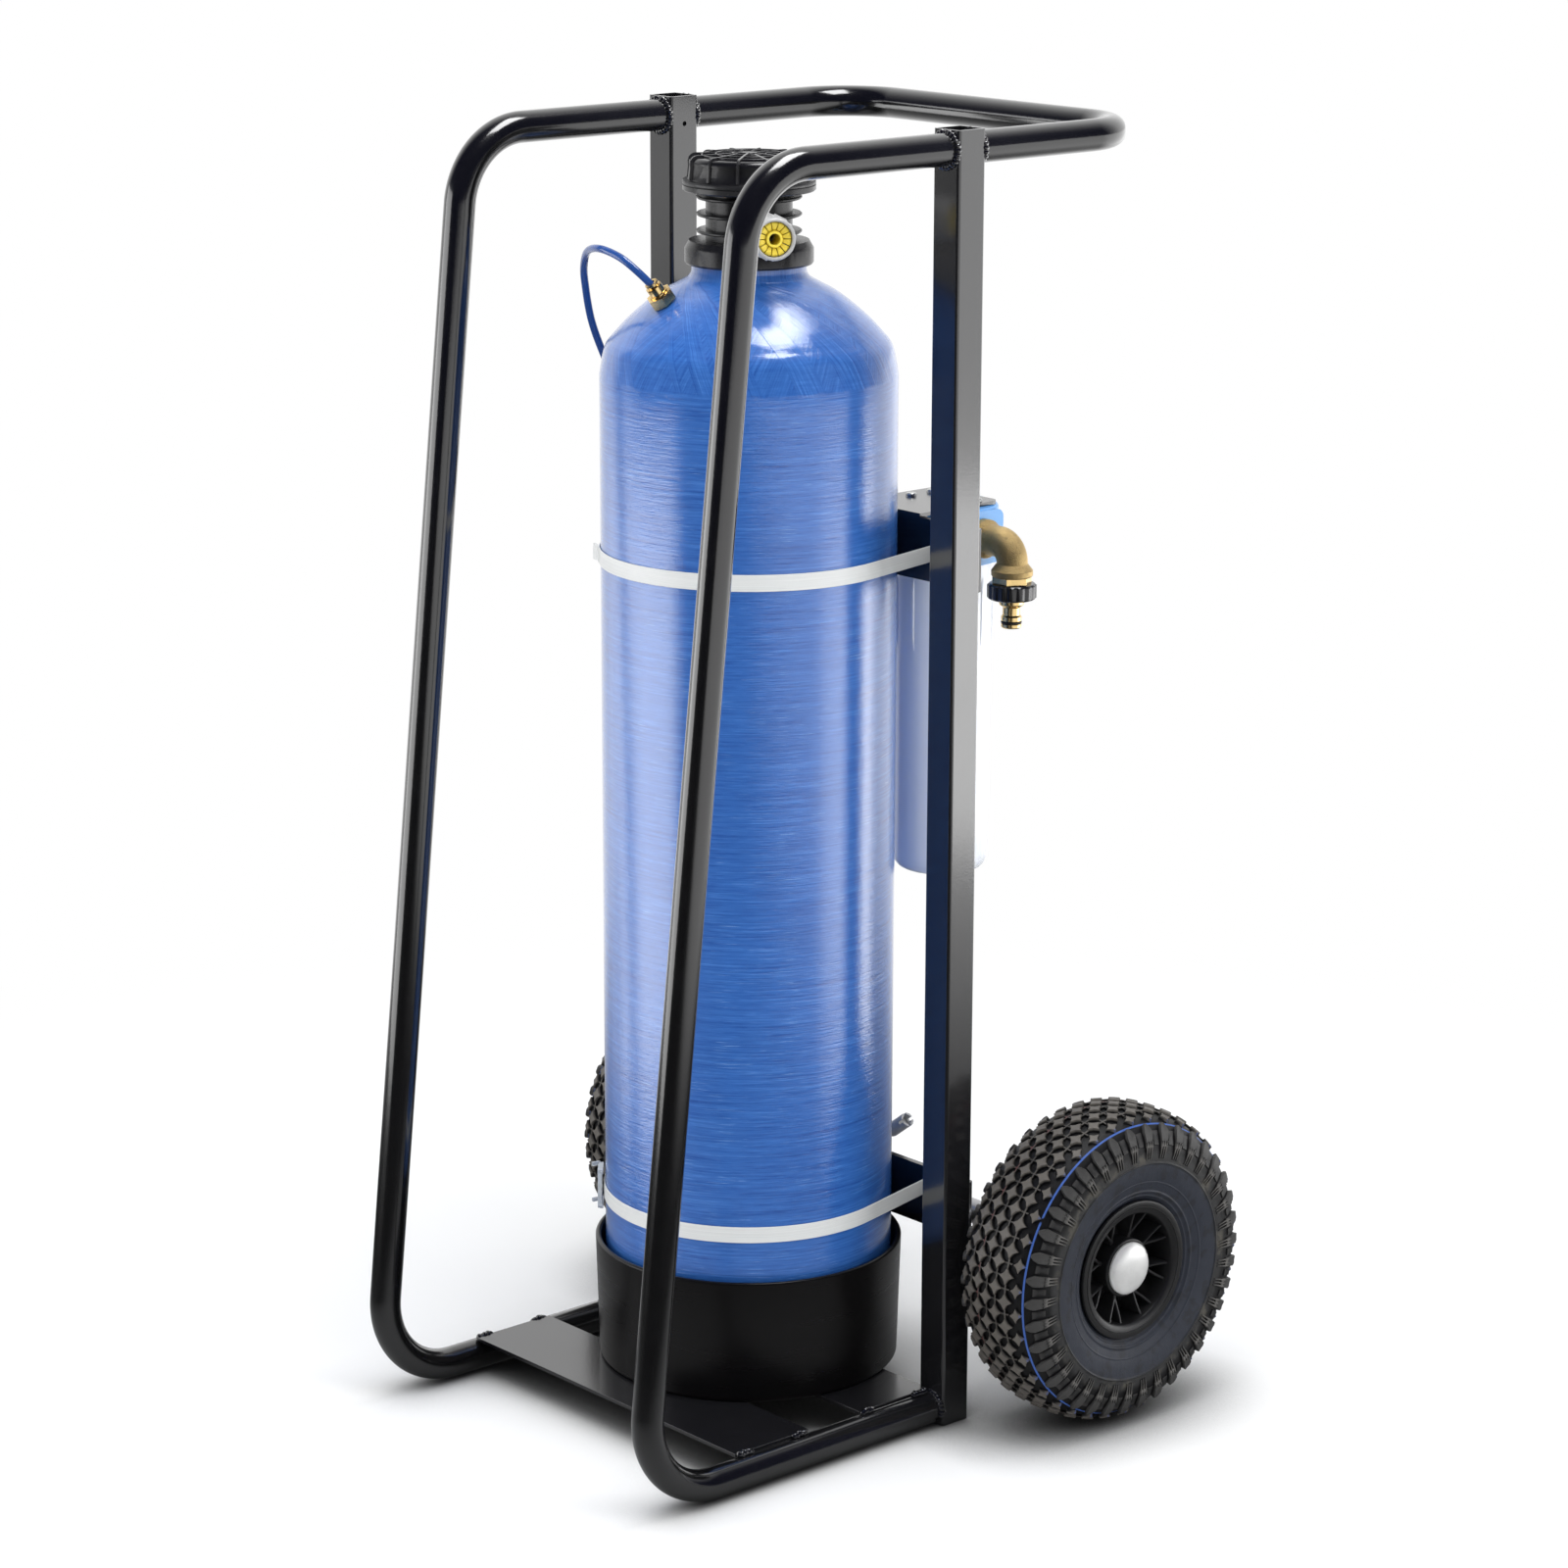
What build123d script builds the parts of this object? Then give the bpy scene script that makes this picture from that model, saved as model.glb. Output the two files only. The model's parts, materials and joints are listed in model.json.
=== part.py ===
from build123d import *
import os
from math import sin, cos, tan, pi, radians, hypot

# Mobile water-treatment cylinder on a two-wheeled tube trolley, in mm.
# +Z is up and the floor is z = 0. +X runs along the wheel axle, the sloping front
# tubes are at -Y, the wheels and the handle at +Y; "left" is -X, "right" is +X.
# Everything is laid out from the cylinder axis; save() then moves it by FRAME_Y, so
# the origin is the floor point under the middle of the overall depth.

FRAME_Y = -20.25

# ---- driving dimensions ----
# trolley frame
TUBE_R, TUBE_WALL = 12.5, 2.0
SIDE_X = 165.75                # centre plane of each side frame
RAIL_Z, TOP_Z = 12.5, 1018.0   # centres of the bottom and top rails
FRONT_LOW_Y, FRONT_TOP_Y = -253.9, -146.6   # corners of the sloping tube
LOW_BEND_R, TOP_BEND_R = 66.0, 62.0
HANDLE_Y, HANDLE_BEND_R = 257.8, 55.0       # rear grip bar
POST_W, POST_WALL, POST_H = 28.0, 2.0, 1033.0
POST_Y = 64.1
POST_FRONT, POST_BACK = POST_Y - POST_W / 2, POST_Y + POST_W / 2

# flat bars
FLAT_T = 5.0
CROSS_Y = 119.5                # mid thickness of the two cross flats
CROSS_BACK = CROSS_Y + FLAT_T / 2
STRAP_UPPER_Z, STRAP_LOWER_Z = 693.0, 168.0
STRAP_W, STRAP_T = 13.0, 1.0
STRIP_T, STRIP_TOP = 3.0, 28.0
STRIP_W, STRIP_HALF_L = 76.0, 163.0

# axle and wheels
AXLE_R, AXLE_Y, AXLE_Z = 10.0, 169.5, 130.0
AXLE_BORE_R = AXLE_R + 0.05
ARM_T, ARM_HALF_H = 6.0, 25.0
WHEEL_X = 236.0
HUB_HALF, HUB_R = 30.0, 24.0
HUB_IN, HUB_OUT = WHEEL_X - HUB_HALF, WHEEL_X + HUB_HALF
WASHER_X = HUB_IN - 3.2        # inner face of the washer
BEARING_R, BEARING_L = 16.0, 20.0
VALVE_DIR = Vector(cos(radians(-39.0)), sin(radians(-39.0)), 0)
VALVE_Z = 12.0                 # toward the outer side of the wheel

# cylinder
VESSEL_R, VESSEL_BOTTOM = 116.4, 34.0
SHELL_T, LINER_T = 4.0, 3.0
BOTTOM_DOME_H = 55.0
# r, z up the top dome; the last r only sets the slope, the neck gives its place
DOME = [(116.4, 834.9), (112.0, 856.4), (104.0, 867.4), (94.0, 878.1),
        (82.0, 888.6), (70.0, 897.8), (58.0, 904.5), (46.5, 911.2)]
NECK_R, NECK_TOP = 44.6, 921.0
BOOT_LOW_R, BOOT_TOP_R, BOOT_TOP = 121.7, 124.8, 130.0
RESIN_TOP = 760.0
RISER_R, RISER_WALL = 13.2, 2.2
RISER_BOTTOM, RISER_TOP = 60.0, 941.5
STRAINER_TOP = 96.0

# head
LID_PLANE = 981.5
PORT_FACE = 50.5               # port face distance from the axis
PORT_CENTRE = Vector(0, 0, 950.0)
OUTLET_DIR = Vector(cos(radians(-28.5)), sin(radians(-28.5)), 0)
INLET_DIR = OUTLET_DIR * -1
OUTLET = Plane(origin=PORT_CENTRE, z_dir=OUTLET_DIR)

# vent connector on the front of the top dome, and its tube
VENT_BASE = Vector(-15.2, -71.9, 894.9)
VENT_DIR = Vector(-0.122, -0.598, 0.792).normalized()
VENT_TUBE_END = Vector(8.0, 141.0, 190.0)

# filter
FILTER_X, FILTER_Y = 37.5, 175.0
FILTER_TOP, FILTER_LOW = 717.0, 672.0   # top and bottom of the filter head
FILTER_PORT_Z = (FILTER_TOP + FILTER_LOW) / 2
FILTER_HALF = 45.0             # half the port to port length
SOCKET_Z = 681.5               # floor of the threaded socket that takes the bowl
BOWL_BOTTOM = 414.7
BRACKET_T = 3.0
SCREWS = [(FILTER_X + sx * 26, FILTER_Y + sy * 11.5) for sx in (-1, 1) for sy in (-1, 1)]
RIGHT_PORT_X = FILTER_X + FILTER_HALF
ELBOW_X = 116.5                # vertical leg of the brass elbow
ELBOW_BEND_R = 15

# transfer hose, from the inlet elbow down to the filter
HOSE_R, HOSE_WALL = 9.0, 2.45
BARB_R = 6.5
HOSE_STRAIGHT = 28
ELBOW_CENTRE = PORT_CENTRE + INLET_DIR * 60
ELBOW_DIR = Vector(-0.44, 0.46, -0.77).normalized()
HOSE_START = ELBOW_CENTRE + ELBOW_DIR * 14.2
TAIL = Vector(FILTER_X - FILTER_HALF, FILTER_Y, FILTER_PORT_Z)
HOSE_END = TAIL - Vector(8.2, 0, 0)


# ---- helpers ----
def rz_points(profile):
    return [(r, 0, z) for r, z in profile]


def turned(profile):
    """solid of revolution about Z from a closed r, z polygon"""
    outline = Polyline(*rz_points(profile), close=True)
    return revolve(make_face(outline), Axis.Z, 360)


def rod(start, direction, radius, length):
    return Plane(origin=start, z_dir=direction) * Pos(0, 0, length / 2) * Cylinder(radius, length)


def upright(x, y, z0, z1, radius):
    """vertical cylinder from z0 to z1"""
    return Pos(x, y, (z0 + z1) / 2) * Cylinder(radius, z1 - z0)


def ring(radius, height, bore_radius):
    """ring centred on the origin"""
    return Cylinder(radius, height) - Cylinder(bore_radius, height + 3)


def box(x0, x1, y0, y1, z0, z1):
    centre = Pos((x0 + x1) / 2, (y0 + y1) / 2, (z0 + z1) / 2)
    return centre * Box(x1 - x0, y1 - y0, z1 - z0)


def group(items):
    return Compound(children=list(items))


def rod_along(path, radius):
    return sweep(Plane(origin=path @ 0, z_dir=path % 0) * Circle(radius), path=path)


def tube_along(path, radius, wall):
    return rod_along(path, radius) - rod_along(path, radius - wall)


def fillet_path(points, radii):
    """polyline with a tangent arc at each inner corner"""
    edges = []
    current = Vector(*points[0])
    for i in range(1, len(points) - 1):
        before, corner, after = (Vector(*p) for p in points[i - 1:i + 2])
        radius = radii[i - 1]
        to_before = (before - corner).normalized()
        to_after = (after - corner).normalized()
        half = radians(to_before.get_angle(to_after) / 2)
        setback = radius / tan(half)
        start, end = corner + to_before * setback, corner + to_after * setback
        bisector = (to_before + to_after).normalized()
        centre = corner + bisector * (radius / sin(half))
        edges.append(Line(current, start))
        edges.append(ThreePointArc(start, centre - bisector * radius, end))
        current = end
    edges.append(Line(current, Vector(*points[-1])))
    return Wire(edges)


# ---- frame; side is -1 for left, 1 for right ----
def hoop(side):
    """bottom rail, sloping front tube and top rail in one bent tube"""
    x = side * SIDE_X
    path = fillet_path([(x, POST_FRONT, RAIL_Z), (x, FRONT_LOW_Y, RAIL_Z),
                        (x, FRONT_TOP_Y, TOP_Z), (x, POST_FRONT, TOP_Z)],
                       [LOW_BEND_R, TOP_BEND_R])
    return tube_along(path, TUBE_R, TUBE_WALL)


def handle_loop():
    path = fillet_path([(-SIDE_X, POST_BACK, TOP_Z), (-SIDE_X, HANDLE_Y, TOP_Z),
                        (SIDE_X, HANDLE_Y, TOP_Z), (SIDE_X, POST_BACK, TOP_Z)],
                       [HANDLE_BEND_R, HANDLE_BEND_R])
    return tube_along(path, TUBE_R, TUBE_WALL)


def post(side):
    centre = Pos(side * SIDE_X, POST_Y, POST_H / 2)
    inside_w = POST_W - 2 * POST_WALL
    solid = centre * Box(POST_W, POST_W, POST_H)
    solid = fillet(solid.edges().filter_by(Axis.Z), 2.5)
    solid = solid - centre * Box(inside_w, inside_w, POST_H + 2)
    # small drain hole near the top of the inner face
    hole_start = (side * (SIDE_X - POST_W / 2 - 1), POST_Y, POST_H - 22)
    return solid - rod(hole_start, (side, 0, 0), 2.0, 4)


def base_strip(y0):
    return box(-STRIP_HALF_L, STRIP_HALF_L, y0, y0 + STRIP_W, STRIP_TOP - STRIP_T, STRIP_TOP)


def base_strip_front():
    return base_strip(-156)


def base_strip_rear():
    return base_strip(-26)


def cross_flat(z0, slot_z):
    """flat bar bent to a shallow U between the inner faces of the posts"""
    height = 50.0
    outer_x = SIDE_X - POST_W / 2
    inner_x = outer_x - FLAT_T
    bend_outer_x, bend_inner_x = 136.5, 133.0
    end_y = POST_Y - 6
    front_y = CROSS_Y - FLAT_T / 2
    outline = [(outer_x, end_y), (outer_x, POST_BACK + 1), (bend_outer_x, CROSS_BACK),
               (-bend_outer_x, CROSS_BACK), (-outer_x, POST_BACK + 1), (-outer_x, end_y),
               (-inner_x, end_y), (-inner_x, POST_BACK), (-bend_inner_x, front_y),
               (bend_inner_x, front_y), (inner_x, POST_BACK), (inner_x, end_y)]
    bar = Pos(0, 0, z0) * extrude(make_face(Polyline(*outline, close=True)), height)
    bends = bar.edges().filter_by(Axis.Z).filter_by(lambda e: e.center().Y > 100)
    bar = fillet(bends, 3.0)
    # slots for the strap
    for side in (-1, 1):
        bar = bar - Pos(side * 92.0, CROSS_Y, slot_z) * Box(10.0, 12.0, STRAP_W + 3)
    return bar


def upper_cross_flat():
    return cross_flat(667.0, STRAP_UPPER_Z)


def lower_cross_flat():
    return cross_flat(130.0, STRAP_LOWER_Z)


def axle_arm(side):
    """upright plate with a round rear end, drawn in y, z"""
    z0, z1 = AXLE_Z - ARM_HALF_H, AXLE_Z + ARM_HALF_H
    outline = Wire([
        Line((POST_BACK, z0), (AXLE_Y, z0)),
        ThreePointArc((AXLE_Y, z0), (AXLE_Y + ARM_HALF_H, AXLE_Z), (AXLE_Y, z1)),
        Line((AXLE_Y, z1), (POST_BACK, z1)),
        Line((POST_BACK, z1), (POST_BACK, z0))])
    plane = Plane(origin=(side * SIDE_X - ARM_T / 2, 0, 0), x_dir=(0, 1, 0), z_dir=(1, 0, 0))
    plate = extrude(plane * make_face(outline), ARM_T)
    return plate - rod((side * SIDE_X - 10, AXLE_Y, AXLE_Z), (1, 0, 0), AXLE_R, 20)


# ---- axle ----
def axle():
    end_x = HUB_OUT + 3.5
    bar = rod((-end_x, AXLE_Y, AXLE_Z), (1, 0, 0), AXLE_R, 2 * end_x)
    return chamfer(bar.edges().filter_by(GeomType.CIRCLE), 1.0)


def axle_ring(x, side, radius, length):
    """bored ring on the axle, from x outward"""
    outward = (side, 0, 0)
    return (rod((side * x, AXLE_Y, AXLE_Z), outward, radius, length)
            - rod((side * (x - 1), AXLE_Y, AXLE_Z), outward, AXLE_BORE_R, length + 2))


def axle_spacers():
    arm_out = SIDE_X + ARM_T / 2
    return group(axle_ring(arm_out, side, 14, WASHER_X - arm_out) for side in (1, -1))


def axle_washers():
    return group(axle_ring(WASHER_X, side, 18, 2.8) for side in (1, -1))


def axle_cap(side):
    """domed push-on cap"""
    bore_r = AXLE_R + 0.02
    cap = turned([(bore_r, 0.0), (21.5, 0.0), (21.5, 1.6), (20.0, 3.6), (15.5, 5.6),
                  (9.0, 6.7), (0.0, 7.1), (0.0, 6.1), (8.8, 5.7), (14.6, 4.8),
                  (18.2, 3.2), (18.6, 1.0), (bore_r, 1.0)])
    return Plane(origin=(side * (HUB_OUT + 0.3), AXLE_Y, AXLE_Z), z_dir=(side, 0, 0)) * cap


def axle_caps():
    return group([axle_cap(1), axle_cap(-1)])


# ---- wheels, built about local Z with +Z on the outer side ----
def on_wheel(shape, side):
    plane = Plane(origin=(side * WHEEL_X, AXLE_Y, AXLE_Z), x_dir=(0, -1, 0), z_dir=(side, 0, 0))
    return plane * shape


def mirrored_spline(half):
    """spline through r, z points and their mirror image; the last point is on z = 0"""
    return Spline(*rz_points(half + [(r, -z) for r, z in half[-2::-1]]))


def tyre(side):
    outer = [(51.0, -31.0), (57.5, -33.5), (66.0, -37.5), (82.0, -42.0), (98.0, -42.5),
             (111.0, -40.5), (120.0, -36.5), (126.0, -29.0), (129.2, -17.0), (130.0, 0.0)]
    inner = [(51.0, -22.0), (58.0, -24.5), (68.0, -31.0), (84.0, -36.0), (98.0, -36.0),
             (109.0, -33.0), (115.0, -26.0), (117.5, -14.0), (118.0, 0.0)]
    section = Wire([mirrored_spline(outer),
                    Line((51.0, 0, -31.0), (51.0, 0, -22.0)),
                    mirrored_spline(inner),
                    Line((51.0, 0, 22.0), (51.0, 0, 31.0))])
    return on_wheel(revolve(make_face(section), Axis.Z, 360), side)


def valve_rod(start_r, radius, length):
    """rod on the valve line, from start_r toward the hub"""
    return rod(VALVE_DIR * start_r + Vector(0, 0, VALVE_Z), VALVE_DIR * -1, radius, length)


def inner_tube(side):
    plane = Plane(origin=(83.0, 0, 0), x_dir=(1, 0, 0), z_dir=(0, -1, 0))
    outer = revolve(plane * Ellipse(30.0, 31.0), Axis.Z, 360)
    inner = revolve(plane * Ellipse(28.0, 29.0), Axis.Z, 360)
    # straight valve pointing at the hub
    valve = valve_rod(55.0, 3.9, 23.0) + valve_rod(33.5, 4.6, 7.5)
    return on_wheel((outer - inner) + valve, side)


def rim(side):
    barrel = turned([(46.0, -32.5), (57.0, -36.8), (57.0, -34.4), (50.9, -31.6),
                     (50.9, -22.6), (48.8, -20.0), (48.8, 20.0), (50.9, 22.6),
                     (50.9, 31.6), (57.0, 34.4), (57.0, 36.8), (46.0, 32.5)])
    hub = turned([(BEARING_R, -HUB_HALF), (HUB_R, -HUB_HALF), (HUB_R, HUB_HALF),
                  (BEARING_R, HUB_HALF)])
    web = turned([(HUB_R - 1, 14.0), (47.0, 9.0), (47.0, 4.0), (HUB_R - 1, 4.0)])
    solid = barrel + hub + web
    spokes = 8
    pitch = 360 / spokes
    pair_ang = -16.5           # middle of the first pair of ribs
    # windows between the pairs of ribs
    for k in range(spokes):
        turn = Rot(0, 0, pitch * k + pair_ang + pitch / 2)
        solid = solid - turn * Pos(36.5, 0, 8.0) * Box(11.0, 11.0, 30.0)
    # stiffening ribs toward the outer side
    rib_end = 46.5
    for k in range(spokes):
        for spread in (-7.0, 7.0):
            rib = Pos((HUB_R + rib_end) / 2, 0, 13.5) * Box(rib_end - HUB_R + 1.5, 2.4, 15.0)
            solid = solid + Rot(0, 0, pitch * k + pair_ang + spread) * rib
    # hole for the valve
    return on_wheel(solid - valve_rod(60, 5.6, 34.5), side)


def hub_bearings(side):
    offset_z = HUB_HALF - BEARING_L / 2
    return group(on_wheel(Pos(0, 0, z) * ring(BEARING_R, BEARING_L, AXLE_BORE_R), side)
                 for z in (-offset_z, offset_z))


# ---- cylinder ----
def bottom_curve():
    """r, z points of the bottom dome, a quarter ellipse"""
    steps = 10
    angles = [(pi / 2) * k / steps for k in range(steps + 1)]
    return [(VESSEL_R * sin(a), VESSEL_BOTTOM + BOTTOM_DOME_H * (1 - cos(a))) for a in angles]


def offset_curve(points, inset):
    """r, z points moved inward, square to the curve"""
    moved = []
    for k, (r, z) in enumerate(points):
        before = points[max(k - 1, 0)]
        after = points[min(k + 1, len(points) - 1)]
        dr, dz = after[0] - before[0], after[1] - before[1]
        length = hypot(dr, dz)
        moved.append((r - dz / length * inset, z + dr / length * inset))
    return moved


def vessel_solid(inset):
    """solid inside the cylinder skin moved inward by inset"""
    wall_r, neck_r = VESSEL_R - inset, NECK_R - inset
    base_z = VESSEL_BOTTOM + inset
    bottom = offset_curve(bottom_curve(), inset)
    wall_z = bottom[-1][1]
    bottom[0] = (0.0, base_z)
    bottom[-1] = (wall_r, wall_z)
    top = offset_curve(DOME, inset)
    top[0] = (wall_r, DOME[0][1])
    dome_r, dome_z = neck_r + 1.6, top[-1][1]
    top[-1] = (dome_r, dome_z)
    outline = [
        Spline(*rz_points(bottom), tangents=[(1, 0, 0), (0, 0, 1)]),
        Line((wall_r, 0, wall_z), (wall_r, 0, DOME[0][1])),
        Spline(*rz_points(top), tangents=[(0, 0, 1), (-0.85, 0, 0.5)]),
        Line((dome_r, 0, dome_z), (neck_r, 0, dome_z + 3.0)),
        Line((neck_r, 0, dome_z + 3.0), (neck_r, 0, NECK_TOP)),
        Line((neck_r, 0, NECK_TOP), (0, 0, NECK_TOP)),
        Line((0, 0, NECK_TOP), (0, 0, base_z))]
    return revolve(make_face(Wire(outline)), Axis.Z, 360)


def vent_rod(start, radius, length):
    """rod on the vent line, start measured from the dome surface"""
    return rod(VENT_BASE + VENT_DIR * start, VENT_DIR, radius, length)


def vessel_layer(outer_inset, inner_inset):
    return vessel_solid(outer_inset) - vessel_solid(inner_inset) - vent_rod(-16, 5.0, 32)


def vessel_shell():
    return vessel_layer(0, SHELL_T)


def vessel_liner():
    return vessel_layer(SHELL_T, SHELL_T + LINER_T)


def vessel_boot():
    boot = turned([(60.0, STRIP_TOP), (BOOT_LOW_R, STRIP_TOP), (BOOT_TOP_R, BOOT_TOP),
                   (BOOT_TOP_R - 4.5, BOOT_TOP), (BOOT_LOW_R - 4.7, 40.0),
                   (BOOT_LOW_R - 10.0, VESSEL_BOTTOM), (60.0, VESSEL_BOTTOM)])
    # flat ring under the bottom dome
    pedestal = turned([(18.0, STRIP_TOP), (60.5, STRIP_TOP), (60.5, VESSEL_BOTTOM),
                       (18.0, VESSEL_BOTTOM)])
    return (boot + pedestal) - vessel_solid(0)


def resin_bed():
    bed = vessel_solid(SHELL_T + LINER_T + 0.5) & upright(0, 0, 0, RESIN_TOP, 130)
    return (bed - upright(0, 0, 0, STRAINER_TOP + 2, 24.0)
            - upright(0, 0, -50, 850, RISER_R + 0.4))


def riser_tube():
    length = RISER_TOP - RISER_BOTTOM
    return (Pos(0, 0, (RISER_BOTTOM + RISER_TOP) / 2)
            * ring(RISER_R, length, RISER_R - RISER_WALL))


def bottom_strainer():
    solid = turned([(0, 42.0), (20.0, 42.0), (22.0, 46.0), (22.0, 90.0),
                    (17.0, STRAINER_TOP), (RISER_R, STRAINER_TOP), (RISER_R, RISER_BOTTOM),
                    (19.0, RISER_BOTTOM), (19.0, 46.0), (0, 46.0)])
    for k in range(12):
        solid = solid - Rot(0, 0, 30 * k) * Pos(21.0, 0, 53.0) * Box(6.0, 1.2, 11.0)
    return solid


# ---- head ----
def fin_profile(z, r):
    """r, z points of a round fin on the head body"""
    return [(33.5, z - 1.6), (r - 1, z - 1.3), (r, z - 0.5),
            (r, z + 0.5), (r - 1, z + 1.3), (33.5, z + 1.6)]


def head_body():
    plug_r = NECK_R - SHELL_T - LINER_T - 0.08
    profile = [(27.0, 897.0), (plug_r, 897.0), (plug_r, NECK_TOP + 3.0),
               (44.0, NECK_TOP + 3.0), (44.0, NECK_TOP), (49.0, NECK_TOP), (50.0, 922.5),
               (50.0, 933.0), (46.5, 939.0), (33.5, 939.6)]
    for z in (946.0, 959.0, 972.0):
        profile += fin_profile(z, 40.8)
    profile += [(33.5, 976.5), (50.5, 977.0), (51.5, 978.0), (51.5, LID_PLANE),
                (31.5, LID_PLANE), (31.5, LID_PLANE - 3.0), (27.0, LID_PLANE - 3.0)]
    # inner web seated on the riser top
    web = turned([(RISER_R, 938.0), (27.5, 938.0), (27.5, 942.0), (RISER_R - 1.5, 942.0),
                  (RISER_R - 1.5, RISER_TOP), (RISER_R, RISER_TOP)])
    body = turned(profile) + web
    for direction in (OUTLET_DIR, INLET_DIR):
        body = body + rod(PORT_CENTRE + direction * 29, direction, 14.0, PORT_FACE - 29)
    for direction in (OUTLET_DIR, INLET_DIR):
        body = body - rod(PORT_CENTRE + direction * 20, direction, 8.0, 40)
    return body


def head_gasket():
    return Pos(0, 0, NECK_TOP + 1.5) * ring(43.9, 3.0, 38.2)


def lid():
    solid = turned([(0, 979.0), (22.0, 979.0), (22.0, 958.0), (26.9, 958.0),
                    (26.9, LID_PLANE), (51.0, LID_PLANE), (51.5, LID_PLANE + 0.6),
                    (51.5, LID_PLANE + 3.8), (47.5, LID_PLANE + 4.6), (46.0, 999.0),
                    (43.0, 1003.0), (0, 1004.0)])
    # ribs across the top and down the edge
    for k in range(12):
        turn = Rot(0, 0, 30 * k + 8)
        solid = solid + turn * Pos(24.5, 0, 1003.5) * Box(39.0, 2.2, 5.0)
        solid = solid + turn * Pos(46.3, 0, 993.5) * Box(4.6, 2.4, 17.0)
    solid = solid + turned([(24.5, 1003), (26.7, 1003), (26.7, 1006), (24.5, 1006)])
    return solid + Pos(0, 0, 1004.0) * Cylinder(7.0, 5.0)


def lid_seal():
    return Pos(0, 0, LID_PLANE - 1.5) * Torus(29.3, 1.5)


# hose coupling on the outlet port; profiles are r, distance from the cylinder axis
def coupling_body():
    return OUTLET * turned([
        (4.4, 36.0), (8.0, 36.0), (8.0, PORT_FACE), (14.5, PORT_FACE), (15.5, 51.5),
        (15.5, 57.0), (14.5, 57.6), (13.35, 57.6), (13.35, 79.9), (6.55, 79.9),
        (6.55, 64.0), (4.4, 64.0)])


def coupling_claws():
    claws = OUTLET * turned([(6.75, 80.0), (13.2, 80.0), (13.2, 87.0), (11.5, 88.2),
                             (7.6, 86.4), (6.75, 85.0)])
    count = 14
    for k in range(count):
        gap = Rot(0, 0, 360.0 / count * k) * Pos(11.2, 0, 85.6) * Box(5.4, 0.8, 6.0)
        claws = claws - OUTLET * gap
    return claws


def coupling_sleeve():
    sleeve = OUTLET * turned([(13.45, 62.0), (16.0, 62.0), (16.8, 63.0), (16.8, 85.0),
                              (16.3, 88.5), (15.3, 90.0), (13.8, 90.0), (13.45, 89.0)])
    for k in range(20):
        grip = Rot(0, 0, 18.0 * k) * Pos(16.9, 0, 75.0) * Box(1.6, 1.8, 18.0)
        sleeve = sleeve + OUTLET * grip
    return sleeve


def coupling_valve():
    return OUTLET * turned([(4.4, 68.0), (6.5, 68.0), (6.5, 87.0), (5.9, 88.0), (4.4, 88.0)])


# ---- transfer hose and its ends ----
def hose_elbow():
    radius = 11.0
    return (rod(PORT_CENTRE + INLET_DIR * 36, INLET_DIR, 8.0, PORT_FACE - 35)
            + rod(PORT_CENTRE + INLET_DIR * PORT_FACE, INLET_DIR, radius, 60 - PORT_FACE)
            + Pos(*tuple(ELBOW_CENTRE)) * Sphere(radius)
            + rod(ELBOW_CENTRE, ELBOW_DIR, radius, 14)
            + rod(ELBOW_CENTRE + ELBOW_DIR * 13, ELBOW_DIR, BARB_R, 27))


def filter_hose_tail():
    outward = (-1, 0, 0)
    hexagon = Plane(origin=TAIL, z_dir=outward) * extrude(RegularPolygon(16.0, 6), 8.0)
    return (rod(TAIL + Vector(14, 0, 0), outward, 12.0, 14.5) + hexagon
            + rod(TAIL - Vector(7, 0, 0), outward, BARB_R, 26.0))


def transfer_hose():
    """straight over each barb, a free curve between"""
    upper = HOSE_START + ELBOW_DIR * HOSE_STRAIGHT
    lower = HOSE_END - Vector(HOSE_STRAIGHT, 0, 0)
    curve = Spline(upper, Vector(-88, 128, 842), Vector(-94, 158, 770), lower,
                   tangents=[ELBOW_DIR, Vector(1, 0, 0)])
    path = Wire([Line(HOSE_START, upper), curve, Line(lower, HOSE_END)])
    return tube_along(path, HOSE_R, HOSE_WALL)


def hose_clamp(centre, direction):
    plane = Plane(origin=centre, z_dir=direction)
    band = plane * ring(10.0, 9.0, HOSE_R + 0.05)
    return band + plane * Pos(0, 13.0, 0) * Box(11.0, 6.5, 9.0)


def hose_clamps():
    return group([hose_clamp(HOSE_START + ELBOW_DIR * 10, ELBOW_DIR),
                  hose_clamp(HOSE_END - Vector(10, 0, 0), Vector(1, 0, 0))])


# ---- vent ----
def vent_connector():
    plane = Plane(origin=VENT_BASE + VENT_DIR * 1.4, z_dir=VENT_DIR)
    hexagon = plane * extrude(RegularPolygon(11.0, 6), 8.0)
    solid = (vent_rod(-14, 4.98, 16) + hexagon
             + vent_rod(9.2, 7.6, 1.6) + vent_rod(10.6, 6.4, 6.4))
    # stepped bore
    return solid - vent_rod(-16, 2.0, 30) - vent_rod(5, 3.05, 20) - vent_rod(13.0, 4.3, 8)


def vent_release_ring():
    return (vent_rod(15.0, 4.2, 2.4) + vent_rod(19.0, 5.3, 1.4) + vent_rod(17.3, 4.2, 1.8)
            - vent_rod(14, 3.06, 10))


def vent_hose():
    path = fillet_path(
        [tuple(VENT_BASE + VENT_DIR * 5.2), tuple(VENT_BASE + VENT_DIR * 58),
         (-98.0, -90.0, 930.0), (-127.0, 0.0, 770.0), (-122.0, 76.0, 420.0),
         (-108.0, 104.0, 262.0), (-60.0, 141.0, 190.0), tuple(VENT_TUBE_END)],
        [27.0, 30.0, 60.0, 60.0, 60.0, 30.0])
    return tube_along(path, 3.0, 1.0)


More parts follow.
